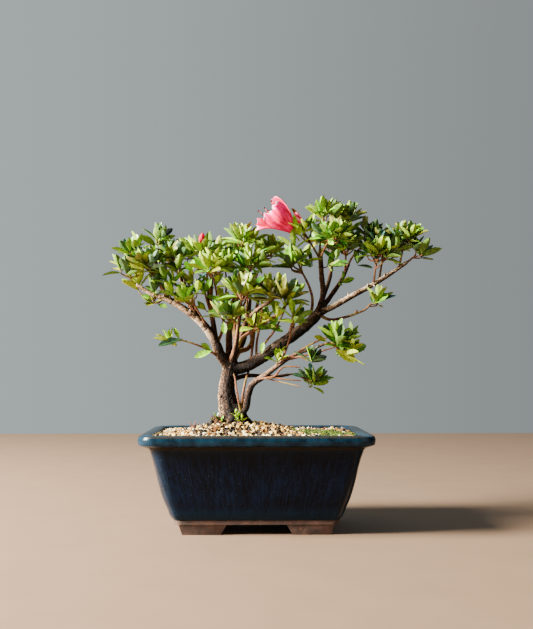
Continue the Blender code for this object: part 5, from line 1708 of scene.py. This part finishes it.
def make_petals():
    petals = []
    for number in range(len(PETALS)):
        bpy.ops.mesh.primitive_grid_add(x_subdivisions=PETAL_GRID[0], y_subdivisions=PETAL_GRID[1], size=2.0)
        petal = bpy.context.object
        pale = []
        for vertex in petal.data.vertices:
            share = 1 - (1 - (vertex.co.y + 1) / 2) ** 1.5
            vertex.co, tone = petal_point(number, vertex.co.x, share)
            pale.append(tone)
        mark_points(petal, pale=pale)
        petals.append(petal)
    bloom = join(petals)
    open_piece(bloom)
    pick_all()
    bpy.ops.mesh.remove_doubles(threshold=0.02 * MM)
    bpy.ops.mesh.normals_make_consistent(inside=False)
    outward = sum(face.normal.dot((face.calc_center_median() - BLOOM_ROOT).normalized() - BLOOM_AXIS)
                  for face in bmesh.from_edit_mesh(bloom.data).faces)
    if outward < 0:
        bpy.ops.mesh.flip_normals()
    close_piece()
    apply_modifier(bloom, "SOLIDIFY", thickness=PETAL_THICK, offset=0.0, material_offset=1)
    return smooth(bloom, 50)


def petal_finish(name, glow, deep, mid, soft, rim):
    """Petals are thin, so a little glow stands for the light that comes through them."""
    petal = Finish(name, {"Specular IOR Level": 0.12, "Emission Strength": glow})
    veins = petal.grain(petal.where((1.0, 1.0, 0.6)), 0.8, detail=4.0)
    tone = petal.mark("pale") + (veins - 0.5) * 0.35
    # the palest stop takes the lobes' rims: their own paler margins and a painted highlight
    colour = petal.ramp(tone, (0.0, deep), (0.30, mid), (0.60, soft), (0.88, rim))
    return petal.put(Base_Color=colour, Emission_Color=colour, Roughness=0.45 + veins * 0.2,
                     Normal=petal.bump(veins, 0.3))


deliver(make_petals(), "bloom_petals", "foliage", [
    petal_finish("petal_outside", 0.48, (180, 0, 44), (236, 0, 94), (250, 0, 126), (255, 186, 218)),
    petal_finish("petal_inside", 0.4, (226, 10, 60), (255, 70, 116), (255, 160, 184), (255, 236, 240))])

# %% [markdown]
# Two buds are still rolled up: a pointed spindle, spun from half its outline and twisted so that the folded
# petals wind round it. Each stands in a small green cup, as the bloom does, on its own short stalk.

# %% Buds and cups
BUD_OUTLINE = [(1.1, 0.0), (2.4, 0.16), (3.2, 0.38), (3.2, 0.55), (2.6, 0.75), (1.5, 0.92), (0.0, 1.0)]
BUD_SIDES = 15
CUP_OUTLINE = [(0.0, -1.6), (1.0, -1.5), (1.6, -0.6), (2.0, 0.6), (2.6, 2.2), (2.2, 2.2), (1.4, 0.6),
               (0.0, -0.4)]
CUP_SIDES, CUP_POINTS, POINT_HEIGHT = 10, 5, 1.1
RIGHT_BUD_SHIFT = Vector((-1.0, -11.0, -1.0)) * MM      # from the place that leaves keep clear, to the front
BUDS = [                        # place, way, height and how wide for that
    (BUD_PLACES[0], Vector((0.25, 0.0, 1.0)), 11.5, 0.86),
    (BUD_PLACES[1] + RIGHT_BUD_SHIFT, Vector((-0.35, -0.1, 0.9)), 13.0, 1.12),
]
FLOWERS = [(place, way) for place, way, _, _ in BUDS] + [(BLOOM_ROOT, BLOOM_AXIS)]


def spun(outline, sides):
    """A closed shape spun round Z from points that give the distance out and the height."""
    bpy.ops.mesh.primitive_plane_add(size=MM)
    thing = bpy.context.object
    open_piece(thing)
    pick_all()
    bpy.ops.mesh.delete(type="VERT")
    mesh = bmesh.from_edit_mesh(thing.data)
    points = [mesh.verts.new((out, 0.0, height)) for out, height in outline]
    for start, end in zip(points, points[1:]):
        mesh.edges.new((start, end))
    bmesh.update_edit_mesh(thing.data)
    pick_all()
    bpy.ops.mesh.spin(steps=sides, angle=2 * math.pi, center=(0, 0, 0), axis=(0, 0, 1), use_auto_merge=True)
    close_outward(0.0001)
    return thing


def stand(thing, place, way):
    """Stands a thing that was made in millimetres on a place, with its +Z along a way."""
    thing.data.transform(Matrix.Translation(place) @ turned_to(way).to_4x4() @ Matrix.Scale(MM, 4))
    return thing


def make_buds():
    buds = []
    for place, way, height, width in BUDS:
        bud = spun([(out * width, up * height) for out, up in BUD_OUTLINE], BUD_SIDES)
        pale = []
        for vertex in bud.data.vertices:
            up = vertex.co.z / height
            around = math.atan2(vertex.co.y, vertex.co.x) + up * 2.2
            fold = abs(math.sin(around * 2.5))
            vertex.co.xy *= 0.86 + 0.2 * fold
            pale.append((0.26 * fold + 0.1 * up) if width < 1 else 0.2 + 0.7 * fold)
        mark_points(bud, pale=pale)
        buds.append(stand(bud, place, way))
    return smooth(join(buds), 60)


deliver(make_buds(), "flower_buds", "foliage",
        [petal_finish("bud_red", 0.2, (104, 0, 22), (178, 0, 48), (226, 20, 84), (255, 150, 180))])


def make_cups():
    """A cup under each flower, with a rim of five points, and its stalk."""
    cups, stalks = [], []
    for root, (place, way) in zip(STALK_ROOTS, FLOWERS):
        cup = spun(CUP_OUTLINE, CUP_SIDES)
        for vertex in cup.data.vertices:
            if vertex.co.z > 2.0:
                vertex.co.z += POINT_HEIGHT * math.cos(CUP_POINTS * math.atan2(vertex.co.y, vertex.co.x))
        cups.append(stand(cup, place, way))
        stalks.append(([root, root.lerp(place, 0.5) + UP * MM, place - way.normalized() * MM],
                       [0.75 * MM, 0.6 * MM, 0.8 * MM]))
    return smooth(join(cups + [tubes("stalks", stalks, 1)]), 50)


FLESHY = {"scale": 0.8, "edges": (0.35, 0.65), "rough": (0.5, 0.2), "relief": 0.15}
deliver(make_cups(), "flower_cups", "foliage",
        [mottled_finish("cup_green", (120, 130, 30), (186, 170, 62), **FLESHY)])

# %% [markdown]
# The stamens and the longer pistil come out of the funnel and curve up, each with a dark anther on its end.

# %% Stamens
STAMEN_ENDS = [(1.2, -20, 283.3), (12.9, -24, 291.4), (9.8, -18, 283.9), (11.9, -22, 280.3),
               (7.0, -15, 287.0), (5.0, -25, 279.0)]
FILAMENT_RADII = (0.42 * MM, 0.26 * MM)
ANTHER_RADIUS, ANTHER_LENGTH = 0.85 * MM, 2.3 * MM


def make_stamens():
    runs, anthers = [], []
    for number, end in enumerate(STAMEN_ENDS):
        start = BLOOM_ROOT + BLOOM_AXIS * 6.0 * MM
        end = spot(*end)
        sag = start.lerp(end, 0.6) - BLOOM_UPPER * (1.2 + 0.5 * (number % 3)) * MM
        points = smooth_route([start, sag, end], 2.0 * MM)
        runs.append((points, taper(points, *FILAMENT_RADII)))
        bpy.ops.mesh.primitive_uv_sphere_add(segments=8, ring_count=6, radius=1.0, location=end)
        anther = bpy.context.object
        anther.scale = (ANTHER_RADIUS, ANTHER_RADIUS, ANTHER_LENGTH / 2)
        anther.rotation_euler = (0.5 * number, 0.4, 0.0)
        settle(anther)
        anthers.append(anther)
    return tubes("filaments", runs, 2), join(anthers)


filaments, anthers = make_stamens()
deliver(smooth(filaments, 60), "stamen_threads", "foliage",
        [mottled_finish("thread_pink", (214, 22, 52), (250, 90, 110), **FLESHY)])
deliver(smooth(anthers, 60), "anthers", "foliage",
        [mottled_finish("anther_dark", (16, 8, 12), (52, 28, 30), **FLESHY)])

# %% [markdown]
# ## Litter
# Flakes of old bark and a few dry stalks have gathered on the left of the trunk, and one dead twig sticks up
# near the rim. A flake is a small grid, curled a little and given its thickness.

# %% Flakes and dry stalks
FLAKE_COUNT = 60
FLAKE_MIDDLE = (HEAP_PLACE[0] + 2.0, HEAP_PLACE[1] - 1.0)
FLAKE_REACH, FLAKE_SPREAD = (9.0, 8.0), 0.55
FLAKE_LIFT = (0.8, 1.9)
FLAKE_SIZES = (1.0, 2.1)
STALK_COUNT = 9
STALK_Y = -8.0
DEAD_TWIG = [([(-57, -3, 86.0), (-56.4, -4, 90.5), (-54.8, -5, 94.5)], 0.8),
             ([(-56.6, -4, 89.0), (-59.4, -4.5, 91.4), (-60.2, -5, 94.0)], 0.6),
             ([(-56.4, -4, 90.0), (-52.6, -3.0, 91.2), (-51.4, -4, 93.4)], 0.5)]


def make_flake(curl, slant):
    bpy.ops.mesh.primitive_grid_add(x_subdivisions=3, y_subdivisions=3, size=2.0)
    flake = bpy.context.object
    for vertex in flake.data.vertices:
        x, y, _ = vertex.co
        vertex.co = Vector((x * (0.5 + 0.12 * y) + slant * y, y * (1.0 - 0.2 * x * x), curl * x * x)) * MM
    apply_modifier(flake, "SOLIDIFY", thickness=0.22 * MM, offset=0.0)
    return shape_of(flake)


def make_litter():
    rng = random.Random(31)
    shapes = [make_flake(0.25, 0.1), make_flake(0.1, -0.25), make_flake(-0.3, 0.2)]
    placings, stalks = [], []
    for _ in range(FLAKE_COUNT):
        x = FLAKE_MIDDLE[0] + rng.gauss(0, FLAKE_SPREAD) * FLAKE_REACH[0]
        y = FLAKE_MIDDLE[1] + rng.gauss(0, FLAKE_SPREAD) * FLAKE_REACH[1]
        place = ground(x, y) + heap(x, y) + UP * rng.uniform(*FLAKE_LIFT) * MM
        turn = Matrix.Rotation(rng.uniform(0, 6.3), 4, "Z") @ Matrix.Rotation(rng.gauss(0, 0.6), 4, "X")
        size = Matrix.Scale(rng.uniform(*FLAKE_SIZES), 4)
        placings.append((rng.randrange(3), Matrix.Translation(place) @ turn @ size, rng.choice((0, 0, 1))))
    for _ in range(STALK_COUNT):
        x = HEAP_PLACE[0] + 3.0 + rng.uniform(-8.0, 8.0)
        start = ground(x, STALK_Y) + heap(x, STALK_Y)
        end = start + Vector((rng.uniform(-3.5, 3.5), rng.uniform(-2.5, 1.0), rng.uniform(3.5, 6.5))) * MM
        stalks.append(([start, start.lerp(end, 0.5) + UP * 0.6 * MM, end], [0.36 * MM, 0.3 * MM, 0.2 * MM]))
    for points, radius in DEAD_TWIG:
        stalks.append(([spot(*point) for point in points],
                       [radius * MM, radius * 0.8 * MM, radius * 0.5 * MM]))
    return strew("litter", shapes, placings), tubes("dry_stalks", stalks, 1)


litter, stalks = make_litter()
deliver(litter, "bark_flakes", "bark", [mottled_finish("flake_dark", (30, 20, 14), (74, 52, 38)),
                                        mottled_finish("flake_light", (88, 62, 44), (150, 116, 86))])
deliver(smooth(stalks, 60), "dry_stalks", "bark", [mottled_finish("dry_stalk", (70, 34, 26), (128, 84, 60))])
